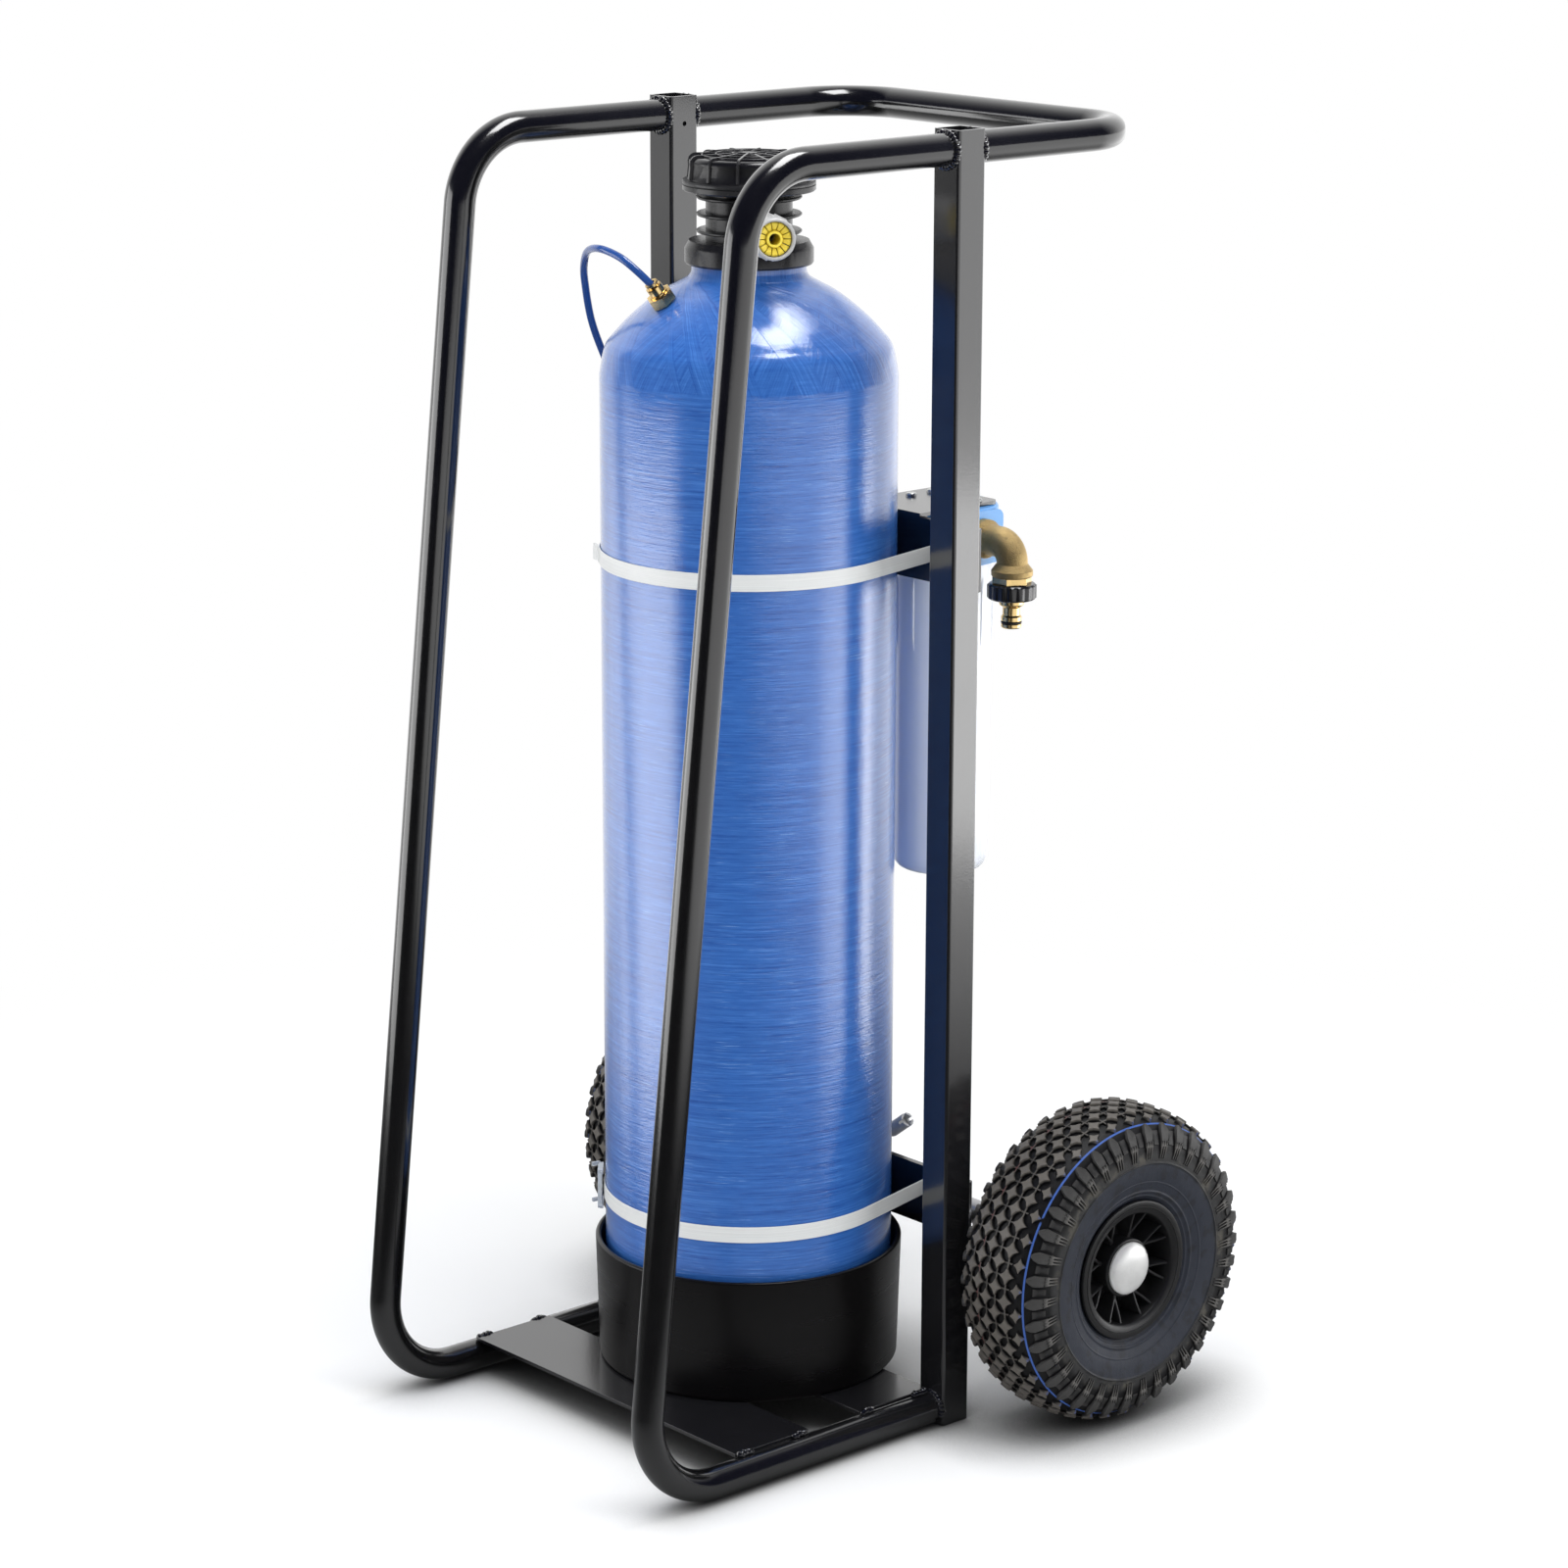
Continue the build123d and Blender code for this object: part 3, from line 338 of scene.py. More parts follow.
def vessel_blue():
    """wound composite: hoop windings on the wall, crossing helical bands on the dome"""
    mat = Material("vessel_blue")
    x, y, z = mat.xyz()
    around = mat.math("ARCTAN2", y, x)
    wound_z = z + mat.noise(scale=7, detail=1) * 0.0035

    def hoop_noise(along, across, detail, rough):
        """long in the hoop direction, thin up the wall"""
        vector = mat.combine(x * along, y * along, wound_z * across)
        return mat.noise(vector, detail=detail, rough=rough)

    hoop = hoop_noise(13.0, 640.0, 5, 0.66)
    hoop_fine = hoop_noise(30.0, 1700.0, 3, 0.6)
    hoop_wide = hoop_noise(3.0, 150.0, 3, 0.6)
    ragged = hoop_noise(58.0, 560.0, 4, 0.62)

    # how far a band tangent to the neck has turned at each height of the dome
    outline = DOME[:1] + [(115.4, 846.0)] + DOME[1:]
    low, high = outline[0][1], outline[-1][1]
    turn, turned = 0.0, [(low, 0.0)]
    for (r0, z0), (r1, z1) in zip(outline, outline[1:]):
        middle = (r0 + r1) / 2
        lean = min(0.97, NECK_R / middle)
        length = sqrt((r1 - r0) ** 2 + (z1 - z0) ** 2)
        turn += length * lean / sqrt(1 - lean * lean) / middle
        turned.append((z1, turn))
    # on the wall the bands turn evenly, 3.58 radians a metre
    on_wall = (z - low * MM) * 3.58
    on_dome = mat.ramp((z - low * MM) / ((high - low) * MM),
                       [((height - low) / (high - low), t / turn) for height, t in turned]) * turn
    lag = mat.math("MINIMUM", on_wall, 0.0) + on_dome

    def helix(hand):
        angle = around + lag if hand > 0 else around - lag
        cosine, sine = mat.math("COSINE", angle), mat.math("SINE", angle)
        band = mat.noise(mat.combine(cosine * 5.0, sine * 5.0, hand * 7.0), detail=1)
        threads = mat.noise(mat.combine(cosine * 64.0, sine * 64.0, z * 26.0),
                            detail=4, rough=0.68)
        return band, threads

    upper_band, upper_threads = helix(1)
    lower_band, lower_threads = helix(-1)
    covers = mat.rise(upper_band, 0.46, 0.475)
    dome_threads = mat.mix(covers, lower_threads, upper_threads)
    upper_steps = mat.ramp(upper_band, [(0.0, 0.36), (0.38, 0.56), (0.46, 0.40), (0.54, 0.66),
                                        (0.62, 0.48)], "CONSTANT")
    lower_steps = mat.ramp(lower_band, [(0.0, 0.58), (0.36, 0.38), (0.45, 0.60), (0.55, 0.44),
                                        (0.66, 0.68)], "CONSTANT")
    dome_band = mat.mix(covers, lower_steps, upper_steps)
    dome_step = (dome_band + covers * 0.6) * 0.8
    is_dome = mat.smooth(z + mat.noise(scale=30, detail=2) * 0.012, 0.8385, 0.8435)
    streak = mat.mix(is_dome, hoop, dome_threads)
    wide = mat.mix(is_dome, hoop_wide, dome_band)
    color = mat.ramp(wide * 0.15 + streak * 0.61 + ragged * 0.25, [
        (0.34, (0.012, 0.062, 0.285)), (0.45, (0.024, 0.110, 0.405)),
        (0.55, (0.034, 0.140, 0.470)), (0.66, (0.062, 0.205, 0.590)),
        (0.80, (0.150, 0.340, 0.740))])
    patches = mat.rise(mat.noise(scale=26, detail=3), 0.5, 0.9)
    color = mat.mix(patches * 0.35, color, (0.022, 0.085, 0.30))
    # scattered bright dry filaments and dark gaps between windings
    filaments = mat.rise(hoop_fine, 0.60, 0.68) * (1.0 - is_dome)
    filaments = filaments * mat.rise(mat.noise(scale=40, detail=3), 0.48, 0.64)
    color = mat.mix(filaments * 0.6, color, (0.24, 0.44, 0.80))
    gaps = mat.ramp(hoop_noise(15.0, 820.0, 3, 0.6), [(0.32, 1.0), (0.40, 0.0)])
    gaps = gaps * (1.0 - is_dome)
    color = mat.mix(gaps * 0.38, color, (0.012, 0.055, 0.24))

    is_wall = 1.0 - is_dome
    height = streak * 0.8 + hoop_fine * (is_wall * 0.25)
    height = height + ragged * (0.25 + is_wall * 0.85)
    height = height + dome_step * (is_dome * 1.2)
    height = height + mat.stretched((30, 30, 80)) * 0.8
    normal = mat.bump(height, strength=0.26, distance=0.00075)
    mat.set(Base_Color=color, IOR=1.45, Specular_IOR_Level=0.22, Roughness=streak * 0.25 + 0.24,
            Coat_Weight=1.0, Coat_Roughness=0.05, Coat_IOR=1.72,
            Normal=normal, Coat_Normal=normal)


def tyre_rubber(name, side):
    """dusty block tops, grooves painted near black as shade, patchy walls and two painted lines
    round the tread
    """
    mat = Material(name)
    x, y, z = mat.xyz()
    outward = (x - side * WHEEL_X * MM) * float(side)
    from_y, from_z = y - WHEEL_Y * MM, z - WHEEL_Z * MM
    radius = mat.math("SQRT", from_y * from_y + from_z * from_z)
    off_centre = abs(outward)
    broad = mat.noise(scale=18, detail=4)
    mid = mat.noise(scale=90, detail=5, rough=0.65)

    # height above the casing, at the crown and at the shoulder
    crown = radius - (0.1262 - off_centre ** 2.0 * 5.2)
    casing_width = mat.ramp((radius - 0.080) / 0.046, [
        (0.0, 0.822), (0.217, 0.844), (0.391, 0.842), (0.543, 0.818), (0.674, 0.776),
        (0.793, 0.710), (0.880, 0.610), (0.939, 0.480), (1.0, 0.20)])
    shoulder = off_centre - casing_width * 0.050
    raised = mat.mix(mat.smooth(off_centre, 0.0285, 0.0315), mat.smooth(crown, 0.0010, 0.0031),
                     mat.smooth(shoulder, 0.0006, 0.0020))

    tops = mat.mix(mid, (0.135, 0.121, 0.104), (0.078, 0.072, 0.066))
    tops = mat.mix(mat.smooth(off_centre, 0.030, 0.036), tops, (0.040, 0.039, 0.038))
    tops = mat.mix(1.0 - mat.smooth(radius, 0.1035, 0.1075), tops, (0.105, 0.100, 0.094))
    outer_wall = mat.mix(broad, (0.015, 0.016, 0.018), (0.030, 0.029, 0.028))
    inner_wall = mat.mix(broad, (0.013, 0.016, 0.025), (0.025, 0.029, 0.042))
    wall = mat.mix(mat.smooth(radius, 0.0875, 0.0905), inner_wall, outer_wall)
    dust = mat.rise(mat.noise(scale=55, detail=6, rough=0.7), 0.50, 0.60)
    dust = dust * (mat.smooth(radius, 0.086, 0.094) * (1.0 - mat.smooth(radius, 0.108, 0.114)))
    wall = mat.mix(dust * 0.55, wall, (0.095, 0.086, 0.066))
    stains = mat.rise(mat.noise(scale=80, detail=5), 0.54, 0.60) * 0.5
    wall = mat.mix(stains, wall, (0.012, 0.012, 0.013))
    is_wall = 1.0 - mat.smooth(radius, 0.0950, 0.1010)
    # painted shade: the casing between the tread blocks is near black, darker than the walls, for
    # the shade in the grooves
    low = mat.mix(is_wall, (0.0042, 0.0042, 0.0047), wall)
    high = mat.mix(1.0 - mat.smooth(radius, 0.091, 0.094), tops, wall)
    color = mat.mix(raised, low, high)

    # painted lines in the tread, broken and slightly wavy
    breakup = mat.rise(mat.noise(scale=60, detail=2), 0.26, 0.34)
    wavy = outward + (mat.noise(scale=7, detail=1) - 0.5) * 0.0012
    is_tread = mat.smooth(radius, 0.112, 0.116)

    def line(centre, half_width):
        return 1.0 - mat.smooth(abs(wavy - centre), half_width * 0.75, half_width)

    blue = line(centre=0.0322, half_width=0.00075) * breakup * is_tread
    blue = blue * (1.0 - raised * 0.7)
    red = line(centre=-0.0105, half_width=0.0014) * (1.0 - raised) * is_tread
    color = mat.mix(blue * 0.85, color, (0.045, 0.125, 0.460))
    color = mat.mix(red * 0.7, color, (0.16, 0.006, 0.012))

    scuffs = mat.rise(mat.stretched((160, 420, 420), detail=4, rough=0.7), 0.56, 0.64)
    normal = None
    for height, strength, distance in (
            (mat.noise(scale=1100, detail=3), 0.25, 0.0004),
            (mid, 0.18, 0.0008),
            (mat.noise(scale=34, detail=3, rough=0.5), 0.30, 0.0030),
            (scuffs, 0.12, 0.0005)):
        normal = mat.bump(height, strength, distance, normal)
    mat.set(Base_Color=color, Roughness=mid * 0.28 + 0.40, Specular_IOR_Level=0.38,
            Normal=normal)


black_coat("frame_black", base=(0.0030, 0.0030, 0.0034), rough_low=0.15, rough_high=0.25,
           coat=0.8, peel=0.05)
black_coat("flat_black", base=(0.0035, 0.0035, 0.0045), rough_low=0.18, rough_high=0.28,
           coat=0.5, peel=0.08)
black_coat("weld_black", base=(0.0035, 0.0035, 0.004), rough_low=0.08, rough_high=0.16,
           coat=1.0, peel=0.12)
boot_black()
plastic(Material("head_black"), (0.0045, 0.0045, 0.0056), specular=0.38, rough=0.26, var=0.3,
        grain=1500, grain_depth=0.10, wear=0.5)
lid_black()
metal("zinc", (0.62, 0.63, 0.62), rough=0.30, grime=(0.25, 0.25, 0.24), grime_amount=0.5)
metal("cap_zinc", (0.80, 0.80, 0.79), rough=0.36, grime=(0.66, 0.66, 0.65), grime_amount=0.5,
      metallic=0.5)
metal("axle_steel", (0.42, 0.42, 0.43), rough=0.30, grime=(0.1, 0.09, 0.08), grime_amount=0.5,
      brushed=(900, 20, 20))
metal("brass_cast", (0.62, 0.45, 0.20), rough=0.42, grime=(0.16, 0.11, 0.05), grime_amount=0.6,
      cast=True)
metal("brass_bright", (0.86, 0.62, 0.28), rough=0.16, grime=(0.35, 0.24, 0.08), grime_amount=0.3,
      brushed=(60, 60, 2600))
for name, settings in {
        "rim_plastic": dict(base=(0.0060, 0.0060, 0.0066), rough=0.40, var=0.25, grain=1200,
                            grain_depth=0.12, wear=0.25),
        "bearing_nylon": dict(base=(0.45, 0.44, 0.40), rough=0.5),
        "liner_pe": dict(base=(0.35, 0.45, 0.62), rough=0.45, subsurface=0.2),
        "resin": dict(base=(0.20, 0.09, 0.03), rough=0.6, var=0.5, grain=500, grain_depth=0.8),
        "white_pipe": dict(base=(0.75, 0.75, 0.73), rough=0.4),
        "seal_rubber": dict(base=(0.012, 0.012, 0.012), rough=0.5),
        "grey_plastic": dict(base=(0.42, 0.42, 0.42), rough=0.38, var=0.07, grain_depth=0.12,
                             wear=0.3),
        "yellow_plastic": dict(base=(0.78, 0.60, 0.06), rough=0.34, var=0.10, grain_depth=0.10,
                               subsurface=0.1, wear=0.2),
        "hose_blue": dict(base=(0.016, 0.065, 0.26), rough=0.20, coat=0.5, subsurface=0.05),
        "hose_black": dict(base=(0.012, 0.012, 0.013), rough=0.42, grain=1400, grain_depth=0.2),
        "filter_blue": dict(base=(0.10, 0.33, 0.72), rough=0.30, var=0.10, coat=0.2, wear=0.3),
        "knob_black": dict(base=(0.0055, 0.0055, 0.0068), rough=0.24, var=0.2, coat=0.3,
                           wear=0.5),
        "tube_rubber": dict(base=(0.02, 0.02, 0.02), rough=0.6),
        "cartridge_white": dict(base=(0.80, 0.80, 0.78), rough=0.8, grain=420,
                                grain_depth=0.8)}.items():
    plastic(Material(name), **settings)
bowl_white()
strap_white()
buckle_clear()
vessel_blue()
tyre_rubber("tyre_rubber_right", 1)
tyre_rubber("tyre_rubber_left", -1)


# ---------------------------------------------------------------------------
# mesh helpers: a part is (vertices, faces) in millimetres
# ---------------------------------------------------------------------------
def add_bevel(ob, width, limit):
    bevel = ob.modifiers.new("edge", "BEVEL")
    bevel.width = width * MM
    bevel.segments = 2
    bevel.limit_method = "ANGLE"
    bevel.angle_limit = radians(limit)
    bevel.use_clamp_overlap = True


def make(name, part, material, body, nodes=(), angle=38.0, bevel=0.0):
    """object from a part, smooth except at edges sharper than angle degrees"""
    mesh = bpy.data.meshes.new(name)
    mesh.from_pydata([(x * MM, (y + AXIS_Y) * MM, z * MM) for x, y, z in part[0]], [], part[1])
    mesh.update()
    bm = bmesh.new()
    bm.from_mesh(mesh)
    bmesh.ops.remove_doubles(bm, verts=bm.verts, dist=2e-6)
    empty = [face for face in bm.faces if face.calc_area() < 1e-13]
    if empty:
        bmesh.ops.delete(bm, geom=empty, context="FACES_ONLY")
    bmesh.ops.recalc_face_normals(bm, faces=bm.faces)
    for face in bm.faces:
        face.smooth = True
    limit = radians(angle)
    for edge in bm.edges:
        edge.smooth = not (len(edge.link_faces) == 2 and edge.calc_face_angle(0.0) > limit)
    bm.to_mesh(mesh)
    bm.free()
    ob = bpy.data.objects.new(name, mesh)
    SCENE.collection.objects.link(ob)
    mesh.materials.append(MATERIALS[material])
    if bevel:
        add_bevel(ob, bevel, limit=35)
    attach(ob, body)
    if nodes:
        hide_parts(*nodes)


def join(*parts):
    verts, faces = [], []
    for part_verts, part_faces in parts:
        start = len(verts)
        verts += list(part_verts)
        faces += [[i + start for i in face] for face in part_faces]
    return verts, faces


def skin(sides, count, caps=True, closed=False):
    """faces over a run of sections with the same number of points"""
    faces = []
    for i in range(count if closed else count - 1):
        here, there = i * sides, (i + 1) % count * sides
        for k in range(sides):
            l = (k + 1) % sides
            faces.append([here + k, here + l, there + l, there + k])
    if caps and not closed:
        faces.append(list(range(sides))[::-1])
        faces.append([(count - 1) * sides + k for k in range(sides)])
    return faces


def lathe(profile, sides, shape=None):
    """solid turned from a closed radius, z loop; points at radius 0 become poles"""
    verts, rings = [], []
    for radius, z in profile:
        if radius < 1e-6:
            rings.append([len(verts)] * sides)
            verts.append((0.0, 0.0, z))
            continue
        rings.append(list(range(len(verts), len(verts) + sides)))
        for k in range(sides):
            angle = 2 * pi * k / sides
            reach = shape(radius, z, angle) if shape else radius
            verts.append((reach * cos(angle), reach * sin(angle), z))
    faces = []
    for here, there in zip(rings, rings[1:] + rings[:1]):
        for k in range(sides):
            l = (k + 1) % sides
            face = list(dict.fromkeys([here[k], here[l], there[l], there[k]]))
            if len(face) >= 3:
                faces.append(face)
    return verts, faces


def place(part, origin, z_axis, x_axis=(1, 0, 0)):
    """turn a part's z to z_axis and its x towards x_axis, then move it to origin"""
    z_dir = Vector(z_axis).normalized()
    x_dir = Vector(x_axis)
    x_dir = (x_dir - z_dir * x_dir.dot(z_dir)).normalized()
    y_dir = z_dir.cross(x_dir)
    start = Vector(origin)
    return [tuple(start + x_dir * x + y_dir * y + z_dir * z) for x, y, z in part[0]], part[1]


def shift(part, dx, dy):
    return [(x + dx, y + dy, z) for x, y, z in part[0]], part[1]


def turn_z(part, degrees):
    c, s = cos(radians(degrees)), sin(radians(degrees))
    return [(x * c - y * s, x * s + y * c, z) for x, y, z in part[0]], part[1]


def rounded(profile, radii, steps=3):
    """radius, z loop with rounded corners; radii is one number or one per corner"""
    out = []
    count = len(profile)
    for i in range(count):
        corner = Vector(profile[i])
        wanted = radii if isinstance(radii, (int, float)) else radii[i]
        if corner.x < 1e-6 or wanted <= 0:
            out.append(tuple(corner))
            continue
        back = Vector(profile[i - 1]) - corner
        ahead = Vector(profile[(i + 1) % count]) - corner
        back_length, ahead_length = back.length, ahead.length
        back, ahead = back / back_length, ahead / ahead_length
        angle = back.angle(ahead)
        if angle > 3.0:
            out.append(tuple(corner))
            continue
        reach = min(wanted / tan(angle / 2), back_length * 0.45, ahead_length * 0.45)
        radius = reach * tan(angle / 2)
        centre = corner + (back + ahead).normalized() * (radius / sin(angle / 2))
        start, end = corner + back * reach - centre, corner + ahead * reach - centre
        for k in range(steps + 1):
            f = k / steps
            spoke = (start * (1 - f) + end * f).normalized() * radius
            out.append((centre.x + spoke.x, centre.y + spoke.y))
    return [(max(0.0, radius), z) for radius, z in out]


def catmull(points, steps):
    """smooth curve through the points"""
    out = []
    last = len(points) - 1
    for i in range(last):
        p0 = Vector(points[max(i - 1, 0)])
        p1, p2 = Vector(points[i]), Vector(points[i + 1])
        p3 = Vector(points[min(i + 2, last)])
        for k in range(steps):
            t = k / steps
            out.append(0.5 * ((2 * p1) + (p2 - p0) * t
                              + (2 * p0 - 5 * p1 + 4 * p2 - p3) * t * t
                              + (3 * p1 - p0 - 3 * p2 + p3) * t * t * t))
    out.append(Vector(points[-1]))
    return out


def bent_path(points, radii, step):
    """straight runs joined by arcs, one radius for each inner point"""
    out = [Vector(points[0])]
    for i, radius in enumerate(radii, 1):
        corner = Vector(points[i])
        back = (Vector(points[i - 1]) - corner).normalized()
        ahead = (Vector(points[i + 1]) - corner).normalized()
        half = back.angle(ahead) / 2
        reach = radius / tan(half)
        centre = corner + (back + ahead).normalized() * (radius / sin(half))
        start, end = corner + back * reach - centre, corner + ahead * reach - centre
        sweep_angle = start.angle(end)
        count = max(4, ceil(radius * (pi - 2 * half) / step))
        for k in range(count + 1):
            f = k / count
            out.append(centre + (start * sin((1 - f) * sweep_angle)
                                 + end * sin(f * sweep_angle)) / sin(sweep_angle))
    out.append(Vector(points[-1]))
    clean = [out[0]]
    for point in out[1:]:
        if (point - clean[-1]).length > 1e-4:
            clean.append(point)
    return clean


def sweep(path, sides, radius=None, section=None, caps=True):
    """solid along a path: round with a radius, a number or radius(side, length so far),
    or with a section of x, y points"""
    count = len(path)
    verts, along = [], 0.0
    for i in range(count):
        tangent = (path[min(i + 1, count - 1)] - path[max(i - 1, 0)]).normalized()
        if i == 0:
            x_dir = Vector((0, 0, 1)) if abs(tangent.z) < 0.9 else Vector((1, 0, 0))
        x_dir = (x_dir - tangent * x_dir.dot(tangent)).normalized()
        y_dir = tangent.cross(x_dir)
        along += (path[i] - path[max(i - 1, 0)]).length
        for k in range(sides):
            if section:
                point = path[i] + x_dir * section[k][0] + y_dir * section[k][1]
            else:
                angle = 2 * pi * k / sides
                reach = radius(k, along) if callable(radius) else radius
                point = path[i] + (x_dir * cos(angle) + y_dir * sin(angle)) * reach
            verts.append(tuple(point))
    return verts, skin(sides, count, caps)


def pipe(path, outer, inner, sides):
    """hollow tube with ring ends"""
    outside = sweep(path, sides, radius=outer, caps=False)
    verts, faces = join(outside, sweep(path, sides, radius=inner, caps=False))
    inside = len(outside[0])
    for start in (0, (len(path) - 1) * sides):
        for k in range(sides):
            l = (k + 1) % sides
            faces.append([start + k, start + l, inside + start + l, inside + start + k])
    return verts, faces


def upright_rib(stations, foot, crown):
    """rib on the +x flank, stations of foot radius, crown radius, z; foot, crown half widths"""
    verts = []
    for inner, outer, z in stations:
        verts += [(inner, -foot, z), (outer, -crown, z), (outer, crown, z), (inner, foot, z)]
    return verts, skin(4, len(stations))


# ---------------------------------------------------------------------------
# CAD pieces kept as they are: smooth shading, crisp edges, materials
# ---------------------------------------------------------------------------
def dress(node, material, bevel):
    ob = NODES[node]
    ob.data.materials.clear()
    ob.data.materials.append(MATERIALS[material])
    for face in ob.data.polygons:
        face.use_smooth = True
        face.material_index = 0
    # normals stored with the CAD would override the modifiers
    if ob.data.has_custom_normals:
        ob.data.normals_split_custom_set([(0, 0, 0)] * len(ob.data.loops))
    weld = ob.modifiers.new("weld", "WELD")
    weld.merge_threshold = 3e-6
    if bevel:
        add_bevel(ob, bevel, limit=40)
    crease = ob.modifiers.new("crease", "EDGE_SPLIT")
    crease.split_angle = radians(32)
    crease.use_edge_sharp = False
    flats = ob.modifiers.new("flats", "WEIGHTED_NORMAL")
    flats.mode = "FACE_AREA"
    flats.weight = 90
    flats.keep_sharp = True


# CAD node: material, bevel width in mm
KEPT = {
    "post_left": ("frame_black", 0), "post_right": ("frame_black", 0),
    "base_strip_front": ("flat_black", 0.35), "base_strip_rear": ("flat_black", 0.35),
    "upper_cross_flat": ("flat_black", 0.4), "lower_cross_flat": ("flat_black", 0.4),
    "axle_arm_left": ("flat_black", 0.4), "axle_arm_right": ("flat_black", 0.4),
    "axle": ("axle_steel", 0), "axle_spacers": ("axle_steel", 0.3), "axle_washers": ("zinc", 0.2),
    "inner_tube_left": ("tube_rubber", 0), "inner_tube_right": ("tube_rubber", 0),
    "hub_bearings_left": ("bearing_nylon", 0.3), "hub_bearings_right": ("bearing_nylon", 0.3),
    "vessel_liner": ("liner_pe", 0), "resin_bed": ("resin", 0), "riser_tube": ("white_pipe", 0),
    "bottom_strainer": ("white_pipe", 0), "head_gasket": ("seal_rubber", 0),
    "lid_seal": ("seal_rubber", 0), "coupling_body": ("grey_plastic", 0.2),
    "coupling_valve": ("yellow_plastic", 0), "hose_elbow": ("knob_black", 0),
    "filter_hose_tail": ("brass_cast", 0.3), "transfer_hose": ("hose_black", 0),
    "hose_clamps": ("zinc", 0.2), "vent_connector": ("brass_bright", 0.15),
    "vent_release_ring": ("brass_bright", 0.1), "vent_hose_end": ("grey_plastic", 0.25),
    "filter_bracket": ("flat_black", 0.5), "bowl_seal": ("seal_rubber", 0),
    "filter_cartridge": ("cartridge_white", 0), "hex_adapter": ("brass_bright", 0.25),
    "quick_nipple": ("brass_bright", 0.15), "nipple_o_ring": ("seal_rubber", 0),
    "strap_buckles": ("buckle_clear", 0.25), "axle_caps": ("cap_zinc", 0),
    "head_body": ("head_black", 0), "brass_elbow": ("brass_cast", 0),
    "bracket_screws": ("zinc", 0), "filter_head": ("filter_blue", 0.4),
}
for name, (material, bevel) in KEPT.items():
    dress(name, material, bevel)

# ---------------------------------------------------------------------------
# frame tubes and welds
# ---------------------------------------------------------------------------
TUBE_R = 12.5
TUBE_WALL = 2
FRAME_X = 165.75
FRAME_TOP = 1018.0
POST_FRONT, POST_BACK = 50.1, 78.1


def frame_tube(name, points, radii, node):
    path = bent_path(points, radii, 1.6)
    make(name, pipe(path, TUBE_R, TUBE_R - TUBE_WALL, 48), "frame_black", "trolley", [node])


for side, s in (("left", -1), ("right", 1)):
    x = s * FRAME_X
    frame_tube("frame_hoop_" + side,
               [(x, POST_FRONT, TUBE_R), (x, -253.9, TUBE_R), (x, -146.6, FRAME_TOP),
                (x, POST_FRONT, FRAME_TOP)], [66.0, 62.0], "hoop_" + side)
frame_tube("frame_handle",
           [(-FRAME_X, POST_BACK, FRAME_TOP), (-FRAME_X, 257.8, FRAME_TOP),
            (FRAME_X, 257.8, FRAME_TOP), (FRAME_X, POST_BACK, FRAME_TOP)],
           [55.0, 55.0], "handle_loop")


def bead(path, radius, seed, ripple=0.16, period=2.2):
    """weld bead: scalloped, slightly uneven, flattened ends"""
    points = []
    for start, end in zip(path, path[1:]):
        span = end - start
        count = max(1, ceil(span.length / 0.55))
        for k in range(count):
            points.append(start + span * (k / count))
    points.append(path[-1])
    total = sum((end - start).length for start, end in zip(points, points[1:]))

    def radius_at(k, along):
        end = min(1.0, min(along, total - along) / (radius * 1.1) + 0.15)
        wave = 1.0 + ripple * abs(sin(pi * along / period)) - ripple * 0.5
        jitter = noise.noise(Vector((along * 0.35, k * 0.7, seed * 9.1)))
        return radius * max(0.12, (end ** 0.5) * wave * (1 + 0.16 * jitter))

    return sweep(points, 10, radius=radius_at)


def ring_bead(x, y, z, radius, seed, half_turn=pi):
    """bead round the end of a tube along y, half_turn to each side; a full ring starts on top"""
    first = 0.0 if half_turn == pi else -half_turn
    path = []
    for k in range(61):
        angle = first + 2 * half_turn * k / 60
        out = Vector((sin(angle), 0, cos(angle)))
        path.append(Vector((x, y, z)) + out * (TUBE_R + 0.2))
    return bead(path, radius, seed, ripple=0.3, period=3.0)


def upright_bead(x, y, z0, z1, radius, seed):
    return bead([Vector((x, y, z0 + (z1 - z0) * k / 12.0)) for k in range(13)], radius, seed)


beads = []
for s in (-1, 1):
    x = s * FRAME_X
    seed = 3 + s
    # rail to post, top rail to post, handle to post
    beads.append(ring_bead(x, POST_FRONT - 0.3, TUBE_R, 3.0, seed, half_turn=radians(118)))
    beads.append(ring_bead(x, POST_FRONT - 0.3, FRAME_TOP, 2.9, seed + 7))
    beads.append(ring_bead(x, POST_BACK + 0.3, FRAME_TOP, 2.9, seed + 11))
    # stitches of the base strips on the rails
    for y0, y1, number in ((-155, -138, 1), (-98, -82, 2), (-25, -11, 3), (30, 49, 4)):
        path = [Vector((s * 163.8, y0 + (y1 - y0) * k / 6.0, 26.6 + 0.5 * sin(k * 1.9 + number)))
                for k in range(7)]
        beads.append(bead(path, 2.9, seed + 20 + number, ripple=0.3, period=3.4))
    # cross flats on the posts
    for z0, z1, number in ((668, 716, 31), (131, 179, 32)):
        beads.append(upright_bead(s * (FRAME_X - 14.6), 57.6, z0, z1, 2.2, seed + number))
    # axle arms on the posts
    for dx in (-3.4, 3.4):
        beads.append(upright_bead(x + dx, POST_BACK + 0.5, 108, 152, 1.7, seed + 40 + dx))
make("weld_beads", join(*beads), "weld_black", "trolley", angle=60)

# ---------------------------------------------------------------------------
# cylinder, its boot and its straps
# ---------------------------------------------------------------------------
LINING_R = 112.3


